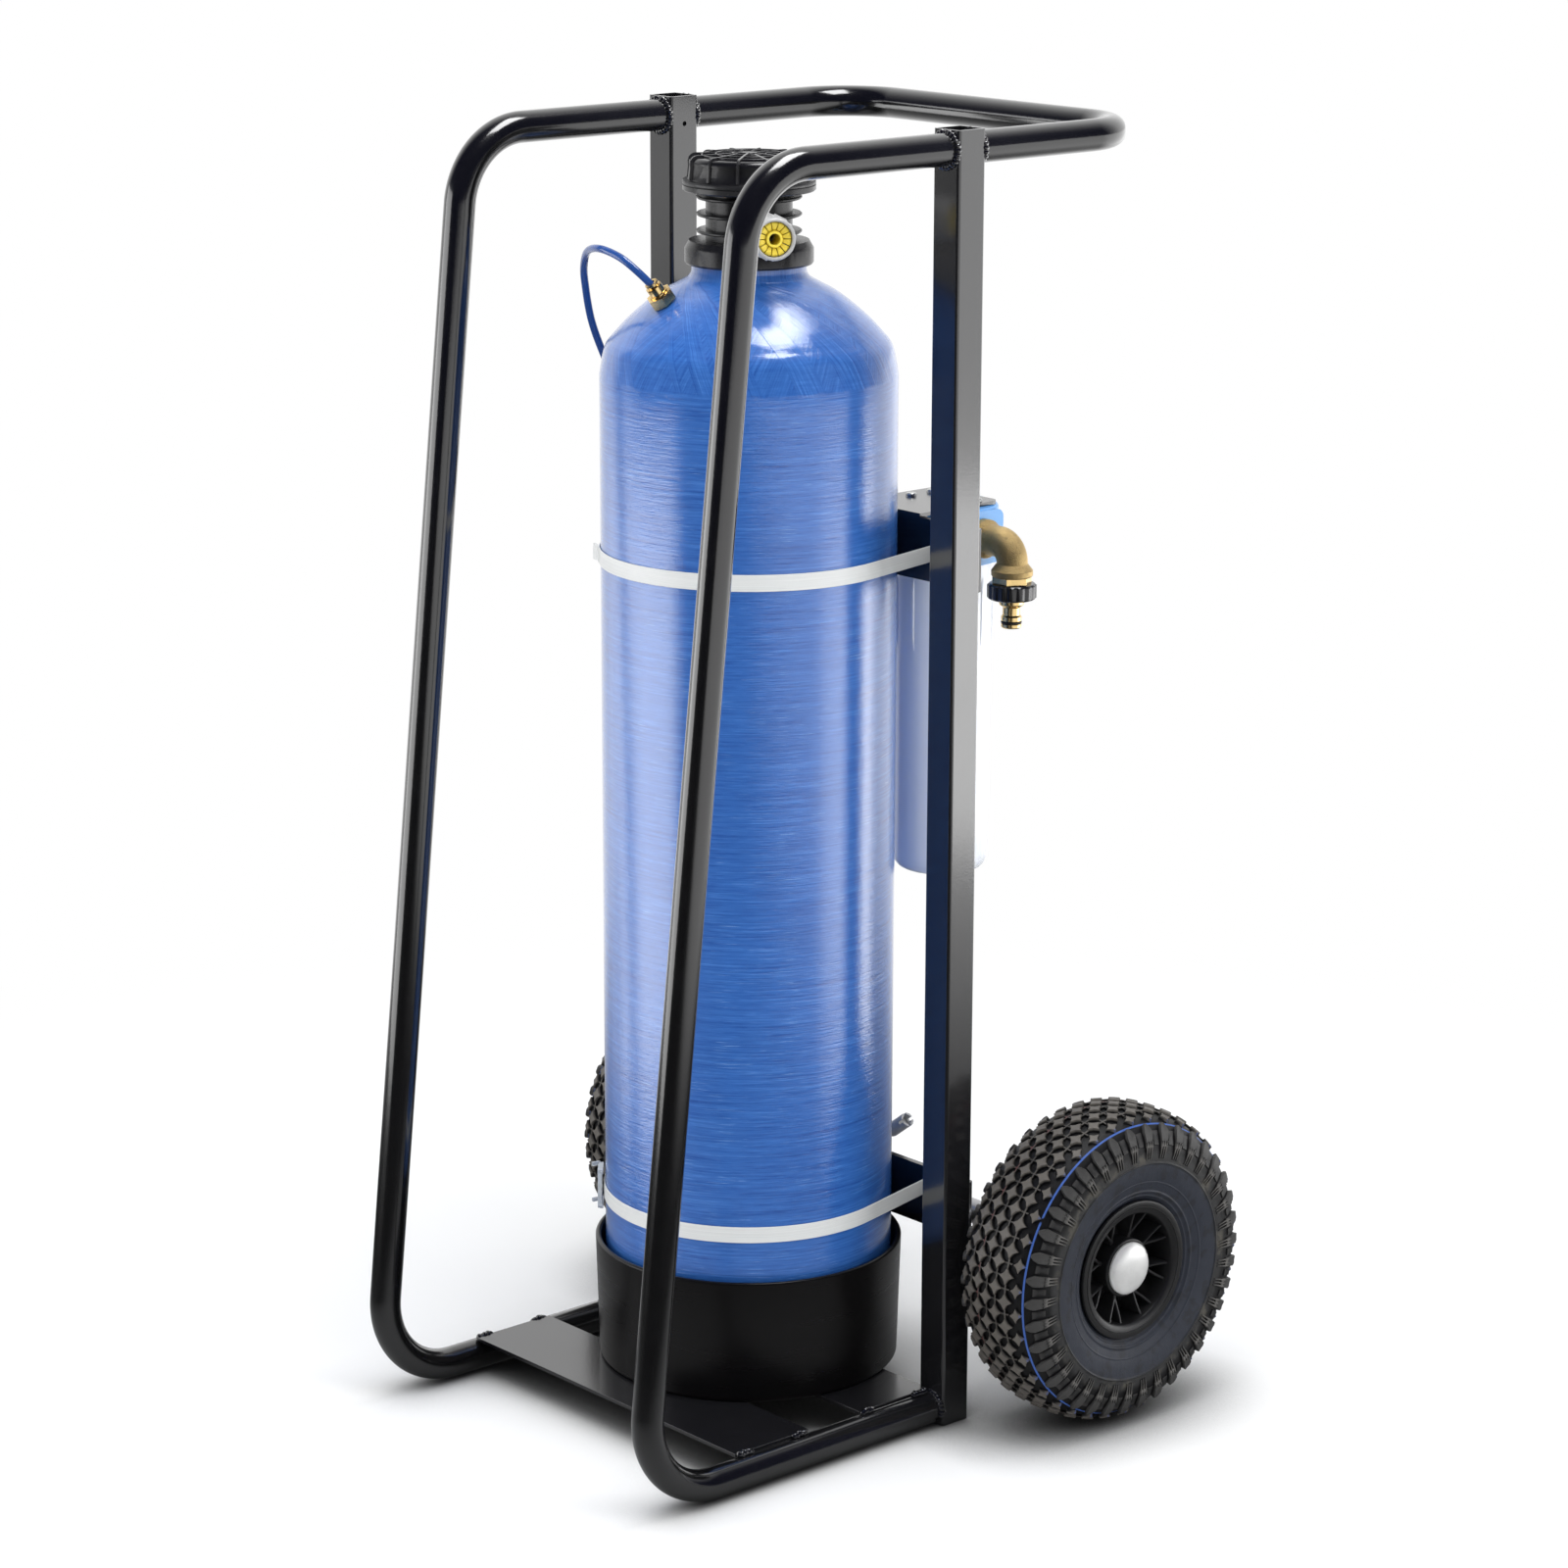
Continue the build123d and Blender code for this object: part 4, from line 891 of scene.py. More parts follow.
def cylinder_shell():
    outer = []
    for k in range(28):
        angle = (pi / 2) * k / 28
        outer.append((VESSEL_R * sin(angle), 34.0 + 55.0 * (1 - cos(angle))))
    outer += [(VESSEL_R, z) for z in (89.0, 150.0, 300.0, 450.0, 600.0, 750.0, 820.0)]
    neck = [(46.0, 912.4), (44.8, 915.5), (NECK_R, 920.9)]
    outer += [(point.x, point.z) for point in catmull([(r, 0, z) for r, z in DOME + neck], 7)]
    inner = [(40.8, 920.9), (40.8, 912.0), (54.0, 902.0), (78.0, 887.0), (100.0, 866.0),
             (109.0, 850.0), (LINING_R, 834.0), (LINING_R, 90.0)]
    for k in range(12, -1, -1):
        angle = (pi / 2) * k / 12
        inner.append((LINING_R * sin(angle), 38.0 + 52.0 * (1 - cos(angle))))
    make("cylinder_shell", lathe(outer + inner, 256), "vessel_blue", "trolley",
         ["vessel_shell"], angle=60)


def cylinder_boot():
    cup = rounded([(60.0, 28.1), (121.7, 28.1), (124.8, 130.0), (120.3, 130.0), (117.4, 60.0),
                   (117.0, 40.0), (111.7, 34.0), (60.0, 34.0)],
                  [0, 3.0, 2.1, 2.0, 0, 0, 0, 0], steps=6)
    floor_ring = [(18.0, 28.1), (60.5, 28.1), (60.5, 33.0), (18.0, 33.0)]
    make("cylinder_boot", join(lathe(cup, 192), lathe(floor_ring, 64)), "boot_black", "trolley",
         ["vessel_boot"], angle=50)


STRAP_R = VESSEL_R + 0.25
STRAP_BACK_Y = 122.15
STRAP_LEAVES = radians(13.0)  # where the strap leaves the wall, behind +X and -X
# strap section with rounded selvedges: out from the wall, up
STRAP_SECTION = [(0, -6.1), (0, 6.1), (0.25, 6.5), (0.65, 6.5),
                 (0.9, 6.1), (0.9, -6.1), (0.65, -6.5), (0.25, -6.5)]


def run(start, end, steps):
    """points from start, left out, to end"""
    return [start + (end - start) * (k / steps) for k in range(1, steps + 1)]


def strap_tail(z):
    """free end standing off the band at the front left"""
    angle = radians(228.5)
    out = Vector((cos(angle), sin(angle), 0))
    along = Vector((sin(angle), -cos(angle), 0))
    base = out * (STRAP_R + 1.3) + Vector((0, 0, z))
    path = [base + along * forward + out * lift
            for forward, lift in ((-7.0, -0.6), (-3.0, 0.1), (0.0, 0.5), (3.5, 1.7), (7.5, 4.2))]
    section = [(up, out_by - 0.45) for out_by, up in STRAP_SECTION]
    return sweep(path, len(section), section=section)


def strap(name, node, z, tail=False):
    right = Vector((STRAP_R * cos(STRAP_LEAVES), STRAP_R * sin(STRAP_LEAVES), 0))
    length = (STRAP_BACK_Y - right.y) / cos(STRAP_LEAVES)
    back_right = Vector((right.x - length * sin(STRAP_LEAVES), STRAP_BACK_Y, 0))
    left = Vector((-right.x, right.y, 0))
    back_left = Vector((-back_right.x, STRAP_BACK_Y, 0))
    loop = []
    for k in range(181):
        angle = STRAP_LEAVES - (pi + 2 * STRAP_LEAVES) * k / 180
        loop.append(Vector((STRAP_R * cos(angle), STRAP_R * sin(angle), 0)))
    loop += run(left, back_left, 12) + run(back_left, back_right, 10)
    loop += run(back_right, right, 12)[:-1]
    count = len(loop)
    verts = []
    for i in range(count):
        tangent = (loop[(i + 1) % count] - loop[i - 1]).normalized()
        normal = Vector((-tangent.y, tangent.x, 0))
        if normal.dot(loop[i]) < 0:
            normal = -normal
        for out_by, up in STRAP_SECTION:
            point = loop[i] + normal * out_by
            verts.append((point.x, point.y, z + up))
    parts = [(verts, skin(len(STRAP_SECTION), count, closed=True))]
    if tail:
        parts.append(strap_tail(z))
    make(name, join(*parts), "strap_white", "trolley", [node], angle=22)


cylinder_shell()
cylinder_boot()
strap("strap_upper_band", "strap_upper", 693.0, tail=True)
strap("strap_lower_band", "strap_lower", 168.0)

# ---------------------------------------------------------------------------
# head: lid and coupling
# ---------------------------------------------------------------------------
LID_BASE = 981.5
# rounded shoulder of the lid, from the side up to the top: radius, z
LID_SHOULDER = []
for k in range(9):
    angle = radians(-8 + 90 * k / 8)
    LID_SHOULDER.append((41.6 + 4.6 * cos(angle), 998.2 + 4.6 * sin(angle)))


def lid_rib(degrees, start):
    """raised rib that follows the lid from radius start out and down the side"""
    half_width, height = 1.15, 1.9
    line = [(start, 1003.9), (20.0, 1003.6), (34.0, 1003.0)] + LID_SHOULDER[::-1]
    line += [(46.0, 995.0), (46.5, 990.0), (47.0, LID_BASE + 4.6)]
    count = len(line)
    verts = []
    for i, point in enumerate(line):
        before, after = Vector(line[max(i - 1, 0)]), Vector(line[min(i + 1, count - 1)])
        tangent = (after - before).normalized()
        normal = Vector((-tangent.y, tangent.x))
        if normal.dot(Vector((0.5, 1.0))) < 0:
            normal = -normal
        for aside, lift in ((-half_width, -0.8), (-half_width, height * 0.55),
                            (-half_width * 0.62, height), (half_width * 0.62, height),
                            (half_width, height * 0.55), (half_width, -0.8)):
            raised = Vector(point) + normal * lift
            verts.append((raised.x, aside, raised.y))
    return turn_z((verts, skin(6, count)), degrees)


def lid_cap():
    profile = [(0, 979.2), (22.0, 979.2), (22.0, 958.5), (26.85, 958.5),
               (26.85, LID_BASE + 0.05), (50.8, LID_BASE + 0.05), (51.5, LID_BASE + 0.9),
               (51.5, LID_BASE + 3.2), (50.9, LID_BASE + 3.9), (47.6, LID_BASE + 4.3),
               (46.9, LID_BASE + 5.2), (45.9, 997.0)]
    profile += LID_SHOULDER + [(34.0, 1003.1), (20.0, 1003.7), (0, 1004.0)]
    parts = [lathe(profile, 144)]
    for k in range(12):
        parts.append(lid_rib(30 * k + 8, 13.5 if k % 2 else 5.0))
    # raised rings: middle radius, top
    for middle, top in ((13.4, 1005.3), (25.6, 1005.2), (36.5, 1004.6)):
        ring = [(middle - 1.05, 1002.4), (middle + 1.05, 1002.4),
                (middle + 0.9, top), (middle - 0.9, top)]
        parts.append(lathe(rounded(ring, [0, 0, 0.6, 0.6]), 96))
    button = [(0, 1003.0), (6.4, 1003.0), (6.2, 1005.9), (0, 1005.9)]
    parts.append(lathe(rounded(button, [0, 0, 1.0, 0]), 48))
    make("lid_cap_moulding", join(*parts), "lid_black", "lid_cap", ["lid"],
         angle=42)


# the coupling points out of the head, forward of +X; its z runs along COUPLING_AXIS
COUPLING_ANGLE = radians(-28.5)
COUPLING_AXIS = (cos(COUPLING_ANGLE), sin(COUPLING_ANGLE), 0)
HEAD_CENTRE = (0, 0, 950.0)
CLAWS = 14
GRIP_RIBS = 20


def coupling_claws():
    profile = [(6.85, 80.1), (13.2, 80.1), (13.2, 86.4), (12.7, 87.5),
               (11.5, 88.1), (9.8, 87.6), (8.1, 86.7), (6.85, 86.0)]
    half, half_gap, steps = pi / CLAWS, 0.34, 5
    claws = []
    for i in range(CLAWS):
        middle = 2 * pi * (i + 0.5) / CLAWS
        verts = []
        for j in range(steps + 1):
            for radius, z in profile:
                reach = half - half_gap / radius
                angle = middle - reach + 2 * reach * j / steps
                verts.append((radius * cos(angle), radius * sin(angle), z))
        claws.append((verts, skin(len(profile), steps + 1)))
    make("coupling_claw_ring", place(join(*claws), HEAD_CENTRE, COUPLING_AXIS),
         "yellow_plastic", "trolley", ["coupling_claws"], bevel=0.22)


def coupling_sleeve():
    profile = rounded([(13.45, 62.0), (16.2, 62.0), (16.5, 84.5), (16.1, 88.6), (15.1, 90.0),
                       (13.9, 90.0), (13.45, 88.8)], [0, 0.8, 1.2, 0.8, 0.6, 0.4, 0.3])
    parts = [lathe(profile, 120)]
    stations = [(15.9, 16.45, 64.5), (15.9, 17.3, 66.0), (15.9, 17.3, 82.0), (15.9, 16.45, 84.6)]
    rib = upright_rib(stations, foot=0.85, crown=0.51)
    parts += [turn_z(rib, 360 / GRIP_RIBS * k) for k in range(GRIP_RIBS)]
    make("coupling_grip_sleeve", place(join(*parts), HEAD_CENTRE, COUPLING_AXIS),
         "grey_plastic", "coupling_collar", ["coupling_sleeve"], angle=40)


lid_cap()
coupling_claws()
coupling_sleeve()


# ---------------------------------------------------------------------------
# vent tube: from the connector over the left shoulder and down behind the cylinder
# ---------------------------------------------------------------------------
def vent_tube():
    start = Vector((-15.2, -71.9, 894.9))
    direction = Vector((-0.122, -0.598, 0.792)).normalized()
    shoulder_end = (-125.0, -18.0, 790.0)
    path = catmull([start + direction * 5.2, start + direction * 14.0, (-26.5, -89.5, 919.0),
                    (-40.5, -95.8, 929.3), (-63.0, -96.6, 933.6), (-87.0, -89.0, 929.0),
                    (-104.5, -79.0, 916.0), (-113.5, -71.0, 900.0), (-118.5, -60.6, 868.7),
                    (-121.5, -44.0, 835.6), shoulder_end], 10)
    path += bent_path([shoulder_end, (-127.0, 0.0, 750.0), (-122.0, 76.0, 420.0),
                       (-108.0, 104.0, 262.0), (-60.0, 141.0, 190.0), (8.0, 141.0, 190.0)],
                      [60.0, 60.0, 60.0, 30.0], 2.0)[1:]
    make("vent_tube", pipe(path, 3.0, 2.0, 24), "hose_blue", "trolley", ["vent_hose"],
         angle=60)


vent_tube()

# ---------------------------------------------------------------------------
# filter bowl and ring nut
# ---------------------------------------------------------------------------
FILTER_X, FILTER_Y = 37.5, 175.0
NUT_X = 116.5
TAPER_LOW, TAPER_HIGH = 429.0, 655.0


def bowl_radius(z):
    return 38.6 + 1.4 * (z - TAPER_LOW) / (TAPER_HIGH - TAPER_LOW)


def filter_bowl():
    profile = [(0, 414.8), (27.0, 414.8), (31.0, 415.5), (34.5, 417.4), (37.0, 420.5),
               (38.2, 424.5)]
    for k in range(9):
        z = TAPER_LOW + (TAPER_HIGH - TAPER_LOW) * k / 8
        profile.append((bowl_radius(z), z))
    profile += [(40.2, 660.0), (40.9, 663.0), (41.0, 666.0), (41.0, 671.9), (37.4, 671.9),
                (37.4, 678.4), (33.0, 678.4), (33.0, 421.5), (31.5, 420.0), (0, 420.0)]
    # z, height of the rib above the wall
    heights = ((662.0, 0.0), (656.0, 0.95), (612.0, 0.95), (598.0, -0.4))
    rib = upright_rib([(bowl_radius(z) - 0.5, bowl_radius(z) + up, z) for z, up in heights],
                      foot=2.2, crown=1.4)
    parts = [lathe(profile, 144)] + [turn_z(rib, 30 * k + 9) for k in range(12)]
    make("filter_bowl_moulding", shift(join(*parts), FILTER_X, FILTER_Y), "bowl_white",
         "bowl", ["filter_bowl"], angle=40)


def ring_nut():
    def fluted(radius, z, angle):
        """sixteen lobes round the outside, between the end faces"""
        if radius < 17.5 or z < 651.2 or z > 663.2:
            return radius
        lobe = 0.5 + 0.5 * cos(16 * angle)
        return radius + 0.9 * (lobe ** 0.6) - 0.25

    profile = rounded([(10.05, 650.9), (18.0, 650.9), (19.1, 652.2), (19.1, 662.2),
                       (18.0, 663.5), (12.05, 663.5), (12.05, 652.0), (10.05, 652.0)],
                      [0, 0.5, 0.8, 0.8, 0.5, 0, 0, 0])
    make("union_ring_nut", shift(lathe(profile, 192, fluted), NUT_X, FILTER_Y), "knob_black",
         "union_nut", ["ring_nut"], angle=45)


filter_bowl()
ring_nut()

# ---------------------------------------------------------------------------
# tyres
# ---------------------------------------------------------------------------
# half section of the casing, crown to bead: radius, distance from the wheel's middle
CASING = catmull([(radius, 0, z) for radius, z in (
    (TYRE_R, 0.0), (125.8, 8.0), (125.0, 16.0), (123.2, 24.0), (120.5, 30.5), (116.5, 35.5),
    (111.0, 38.8), (105.0, 40.9), (98.0, 42.1), (90.0, 42.2), (82.0, 41.4), (75.0, 40.0),
    (66.0, 37.2), (60.5, 34.9), (57.5, 33.0), (55.0, 31.0), (51.6, 30.2))], 10)
# distance over the casing from the crown to each point
CASING_ARC = [0.0]
for start, end in zip(CASING, CASING[1:]):
    CASING_ARC.append(CASING_ARC[-1] + (end - start).length)
# moulded rings on the walls: radius, half width, height
WALL_RINGS = ((89.5, 0.9, 0.9), (73.0, 0.7, 0.35), (64.5, 1.5, 0.9), (60.8, 1.0, 0.5))
BLOCKS = 38
PITCH = 2 * pi * TYRE_R / BLOCKS
ROW = 9.3
# right half of a shoulder lug: along the tread, distance from the crown
LUG_HALF = [(1.2, 34.8), (3.2, 37.2), (4.9, 40.5), (4.6, 46.0), (4.4, 53.0)]


def tyre_point(u, v, height):
    """point above the casing; u runs round the crown, v across it from the crown"""
    side = 1 if v >= 0 else -1
    v = abs(v)
    i = 0
    while i < len(CASING_ARC) - 2 and CASING_ARC[i + 1] < v:
        i += 1
    f = (v - CASING_ARC[i]) / max(1e-9, CASING_ARC[i + 1] - CASING_ARC[i])
    point = CASING[i].lerp(CASING[i + 1], f)
    before, after = CASING[max(i - 2, 0)], CASING[min(i + 3, len(CASING) - 1)]
    if i < 2:
        before = Vector((CASING[3 - i].x, 0, -CASING[3 - i].z))
    tangent = (after - before).normalized()
    normal = Vector((-tangent.z, 0, tangent.x))
    if normal.x + normal.z * 0.6 < 0:
        normal = -normal
    radius = point.x + normal.x * height
    angle = u / TYRE_R
    return (radius * cos(angle), radius * sin(angle), side * point.z + side * normal.z * height)


def block(outline, height, draft=0.7, base=-1.2, inset=0.45):
    """tread block on a u, v outline: skirt below the casing, eased top edge;
    height is a number or height(v)"""
    count = len(outline)
    mid_u = sum(u for u, v in outline) / count
    mid_v = sum(v for u, v in outline) / count

    def top(v):
        return height(v) if callable(height) else height

    verts = []
    for u, v in outline:
        reach = sqrt((u - mid_u) ** 2 + (v - mid_v) ** 2)
        grow = (reach + draft) / reach
        verts.append(tyre_point(mid_u + (u - mid_u) * grow, mid_v + (v - mid_v) * grow, base))
    for scale, drop in ((1.0, 0.5), (1 - inset / 6.5, 0.0)):
        verts += [tyre_point(mid_u + (u - mid_u) * scale, mid_v + (v - mid_v) * scale,
                             top(v) - drop) for u, v in outline]
    verts.append(tyre_point(mid_u, mid_v, top(mid_v)))
    faces = [list(range(count))[::-1]] + skin(count, 3, caps=False)
    faces += [[2 * count + k, 2 * count + (k + 1) % count, 3 * count] for k in range(count)]
    return verts, faces


def diamond(mid_u, mid_v, half_u, half_v):
    """outline with sides curved inwards"""
    pinch = 0.76
    out = []
    for k in range(4):
        t0, t1 = pi / 2 * k, pi / 2 * (k + 1)
        u0, v0 = half_u * cos(t0), half_v * sin(t0)
        u1, v1 = half_u * cos(t1), half_v * sin(t1)
        out.append((mid_u + u0, mid_v + v0))
        for f in (0.3, 0.5, 0.7):
            scale = pinch + (1 - pinch) * abs(f - 0.5) * 1.2
            out.append((mid_u + (u0 * (1 - f) + u1 * f) * scale,
                        mid_v + (v0 * (1 - f) + v1 * f) * scale))
    return out


def trapezoid(mid_u, half0, half1, v0, v1):
    return [(mid_u - half0, v0), (mid_u + half0, v0), (mid_u + half1, v1), (mid_u - half1, v1)]


def tie_bar(outline, height):
    return block(outline, height, draft=0.1, base=-0.8, inset=0.2)


def casing_part():
    wall = []
    for start, end in zip(CASING, CASING[1:]):
        # finer steps where the rings are
        steps = 3 if (86 < start.x < 93 or 58 < start.x < 76) else 1
        for k in range(steps):
            point = start.lerp(end, k / steps)
            lift = sum(height * exp(-((point.x - radius) / width) ** 2 * 1.6)
                       for radius, width, height in WALL_RINGS)
            wall.append((point.x, point.z + lift))
    wall.append((CASING[-1].x, CASING[-1].z))
    inner = [(51.6, 22.0), (58.0, 24.5), (68.0, 31.0), (84.0, 36.0), (98.0, 36.0),
             (109.0, 33.0), (115.0, 26.0), (117.5, 14.0), (118.0, 0.0)]
    loop = [(radius, -z) for radius, z in wall[:0:-1]] + wall + inner
    loop += [(radius, -z) for radius, z in inner[-2::-1]]
    return lathe(loop, 228)


def tyre_part():
    parts = [casing_part()]
    # seven rows of diamonds, odd rows half a pitch on, with tie bars between their corners
    for row in range(-3, 4):
        v = ROW * row
        for k in range(BLOCKS):
            u = PITCH * (k + (0.5 if row % 2 else 0.0))
            if abs(row) == 3:
                parts.append(block(diamond(u, v, 6.1, 4.5), 3.2))
            else:
                parts.append(block(diamond(u, v, 6.6, 6.1), 3.7))
                half = PITCH / 2 - 6.2
                parts.append(tie_bar(trapezoid(u + PITCH / 2, half, half, v - 0.6, v + 0.6), 2.2))
            if row < 2:
                parts.append(tie_bar(trapezoid(u, 0.6, 0.6, v + 5.7, v + 2 * ROW - 5.7), 2.0))
    # shoulder lugs with three ridges, and a low pad between
    lug = [(-LUG_HALF[0][0], LUG_HALF[0][1])] + LUG_HALF + [(-u, v) for u, v in LUG_HALF[:0:-1]]
    for s in (-1, 1):
        for k in range(BLOCKS):
            mid = PITCH * k
            parts.append(block([(mid + u, s * v) for u, v in lug],
                               lambda v: 3.5 - 0.10 * max(0.0, abs(v) - 38.0),
                               draft=0.6, base=-1.0, inset=0.5))
            for du in (-3.2, 0.0, 3.2):
                parts.append(block(trapezoid(mid + du, 0.75, 0.7, s * 48.5, s * 62.5),
                                   lambda v: 3.1 - 0.16 * max(0.0, abs(v) - 48.5),
                                   draft=0.25, base=-0.8, inset=0.3))
            parts.append(block(trapezoid(mid + PITCH / 2, 3.5, 3.2, s * 40.0, s * 51.5), 1.1,
                               draft=0.3, base=-0.8, inset=0.4))
    return join(*parts)


# ---------------------------------------------------------------------------
# rims
# ---------------------------------------------------------------------------
# dished web: radius, half angle in degrees, top z
WEB_STATIONS = ((23.0, 22.5, 14.0), (29.0, 17.5, 13.0), (34.0, 12.6, 12.0), (40.0, 12.0, 10.5),
                (46.2, 14.5, 9.4))
WEB_BOTTOM = 4.0
# half of the rim's outside, from the flange lip to the well: radius, z
RIM_HALF = [(45.9, 33.4), (46.6, 34.6), (48.0, 35.6), (52.0, 36.5), (55.6, 36.8), (56.7, 36.5),
            (57.2, 35.6), (57.0, 34.5), (54.0, 33.0), (50.9, 31.6), (50.9, 22.6), (48.8, 20.0)]


def web_sector(degrees):
    steps = 12
    verts = []
    for j in range(steps + 1):
        for radius, half, top in WEB_STATIONS:
            angle = radians(degrees - half + 2 * half * j / steps)
            x, y = radius * cos(angle), radius * sin(angle)
            verts += [(x, y, top), (x, y, WEB_BOTTOM)]
    # order of a section's points: out along the top, back along the bottom
    order = [0, 2, 4, 6, 8, 9, 7, 5, 3, 1]
    faces = [[i // 10 * 10 + order[i % 10] for i in face]
             for face in skin(10, steps + 1, caps=False)]
    for start in (0, steps * 10):
        for k in range(start, start + 8, 2):
            faces.append([k, k + 2, k + 3, k + 1])
    return verts, faces


def arm_path(start, end, inner, outer, bow, steps):
    """plan path from one angle and radius to another, bowed sideways, in degrees"""
    points = []
    for k in range(steps + 1):
        f = k / steps
        radius = inner + (outer - inner) * f
        angle = radians(start + (end - start) * f + bow * sin(pi * f))
        points.append(Vector((radius * cos(angle), radius * sin(angle), 0)))
    return points


def wall(path, thickness, bottom, top):
    """thin upright wall along a plan path; top(fraction along) is its top z"""
    count = len(path)
    verts = []
    for i in range(count):
        tangent = (path[min(i + 1, count - 1)] - path[max(i - 1, 0)]).normalized()
        aside = Vector((-tangent.y, tangent.x, 0)) * (thickness / 2)
        high = top(i / (count - 1))
        for offset, z in ((-aside * 1.15, bottom), (-aside, high - 0.5), (-aside * 0.5, high),
                          (aside * 0.5, high), (aside, high - 0.5), (aside * 1.15, bottom)):
            point = path[i] + offset
            verts.append((point.x, point.y, z))
    return verts, skin(6, count)


def rim_part():
    loop = [(45.2, 9.0)] + RIM_HALF + [(radius, -z) for radius, z in RIM_HALF[::-1]]
    loop.append((45.6, 3.8))
    parts = [lathe(loop, 128)]
    # fine ring on the flange
    parts.append(lathe([(51.6, 36.2), (52.4, 36.2), (52.2, 36.9), (51.8, 36.9)], 128))
    hub = [(16.05, -29.9), (24.0, -29.9), (24.0, 29.9), (16.05, 29.9)]
    parts.append(lathe(rounded(hub, [0.4, 1.2, 1.2, 0.4]), 72))
    # eight web sectors with windows between them
    for k in range(8):
        angle = 45.0 * k - 16.5
        parts.append(web_sector(angle))
        # Y spoke: two bowed arms and a short stem
        for s in (-1, 1):
            arm = arm_path(angle + s * 1.0, angle + s * 8.2, 27.5, 46.6, bow=s * 1.6, steps=10)
            parts.append(wall(arm, 2.0, 5.0, lambda f: 24.5 + 6.5 * f))
        stem = arm_path(angle, angle, 22.5, 29.0, bow=0.0, steps=4)
        parts.append(wall(stem, 3.4, 5.0, lambda f: 23.5 + 1.2 * f))
        # low rib behind each window
        rib = arm_path(angle + 22.5, angle + 22.5, 23.0, 46.4, bow=0.0, steps=4)
        parts.append(wall(rib, 1.8, -8.0, lambda f: 2.0 + 4.5 * f))
    # ring round the hub behind the windows
    parts.append(lathe([(23.5, -8.0), (28.0, -8.0), (28.0, 4.5), (23.5, 4.5)], 72))
    return join(*parts)


TYRE = tyre_part()
RIM = rim_part()
for side, s in (("right", 1), ("left", -1)):
    seat = dict(origin=(s * WHEEL_X, WHEEL_Y, WHEEL_Z), z_axis=(s, 0, 0), x_axis=(0, -1, 0))
    make("tyre_tread_" + side, place(TYRE, **seat), "tyre_rubber_" + side,
         "wheel_" + side, ["tyre_" + side], angle=42)
    make("rim_spoked_" + side, place(RIM, **seat), "rim_plastic",
         "wheel_" + side, ["rim_" + side], angle=40)

# ---------------------------------------------------------------------------
# stage: pale floor, world, panels and camera, in metres
# ---------------------------------------------------------------------------
AZIMUTH, ELEVATION, ROLL = radians(48.481), radians(14.99), radians(0.124)
# level directions as the camera sees them
RIGHT = Vector((cos(AZIMUTH), sin(AZIMUTH), 0))
FORWARD = Vector((-sin(AZIMUTH), cos(AZIMUTH), 0))


def floor_pale():
    """pale floor with a contact shadow painted in under the pieces from ambient occlusion, that
    fades to white away from the trolley
    """
    mat = Material("floor_pale")
    # painted shadow: ambient occlusion darkens the floor colour under and around the pieces
    occlusion = mat.add("ShaderNodeAmbientOcclusion", {"Distance": 0.085}, "AO", samples=8)
    painted_contact_shadow = mat.ramp(occlusion, [(0.10, 0.03), (0.45, 0.30), (0.80, 0.86), (0.95, 1.0)])
    color = mat.mix(mat.noise(scale=3, detail=3), (0.90, 0.90, 0.90), (0.94, 0.94, 0.94))
    mat.set(Base_Color=mat.mix(1.0, color, painted_contact_shadow, "MULTIPLY"), Roughness=0.75,
            Specular_IOR_Level=0.2,
            Normal=mat.bump(mat.noise(scale=300), strength=0.02, distance=0.0005))
    x, y, _ = mat.xyz()
    distance = mat.math("SQRT", x * x + y * y)
    is_camera, is_glossy = mat.outputs(mat.node("ShaderNodeLightPath"),
                                       "Is Camera Ray", "Is Glossy Ray")
    white = mat.add("ShaderNodeEmission", {0: (1, 1, 1)})
    faded = mat.mix_shader(mat.smooth(distance, 0.55, 1.35) * is_camera, mat.surface, white)
    # reflections see it bright on the right and behind, dark towards the front
    along = x * 0.77 + y * 0.64
    behind = x * FORWARD.x + y * FORWARD.y
    level = mat.smooth(along, 0.65, 1.7) * 1.2 + mat.smooth(behind, 0.30, 1.4) * 1.0
    level = mat.math("MINIMUM", level, 1.5)
    mirrored = mat.add("ShaderNodeEmission", {0: (1, 1, 1), 1: level + 0.03})
    share = (mat.smooth(distance, 0.25, 0.75) * 0.35 + 0.65) * is_glossy
    mat.put(mat.output.inputs[0], mat.mix_shader(share, faded, mirrored))
    return mat.data


def floor():
    radius, sides = 60.0, 96
    rim = [(radius * cos(2 * pi * k / sides), radius * sin(2 * pi * k / sides), -0.0006)
           for k in range(sides)]
    mesh = bpy.data.meshes.new("floor_plane")
    mesh.from_pydata(rim, [], [list(range(sides))])
    ob = bpy.data.objects.new("floor_plane", mesh)
    SCENE.collection.objects.link(ob)
    mesh.materials.append(floor_pale())


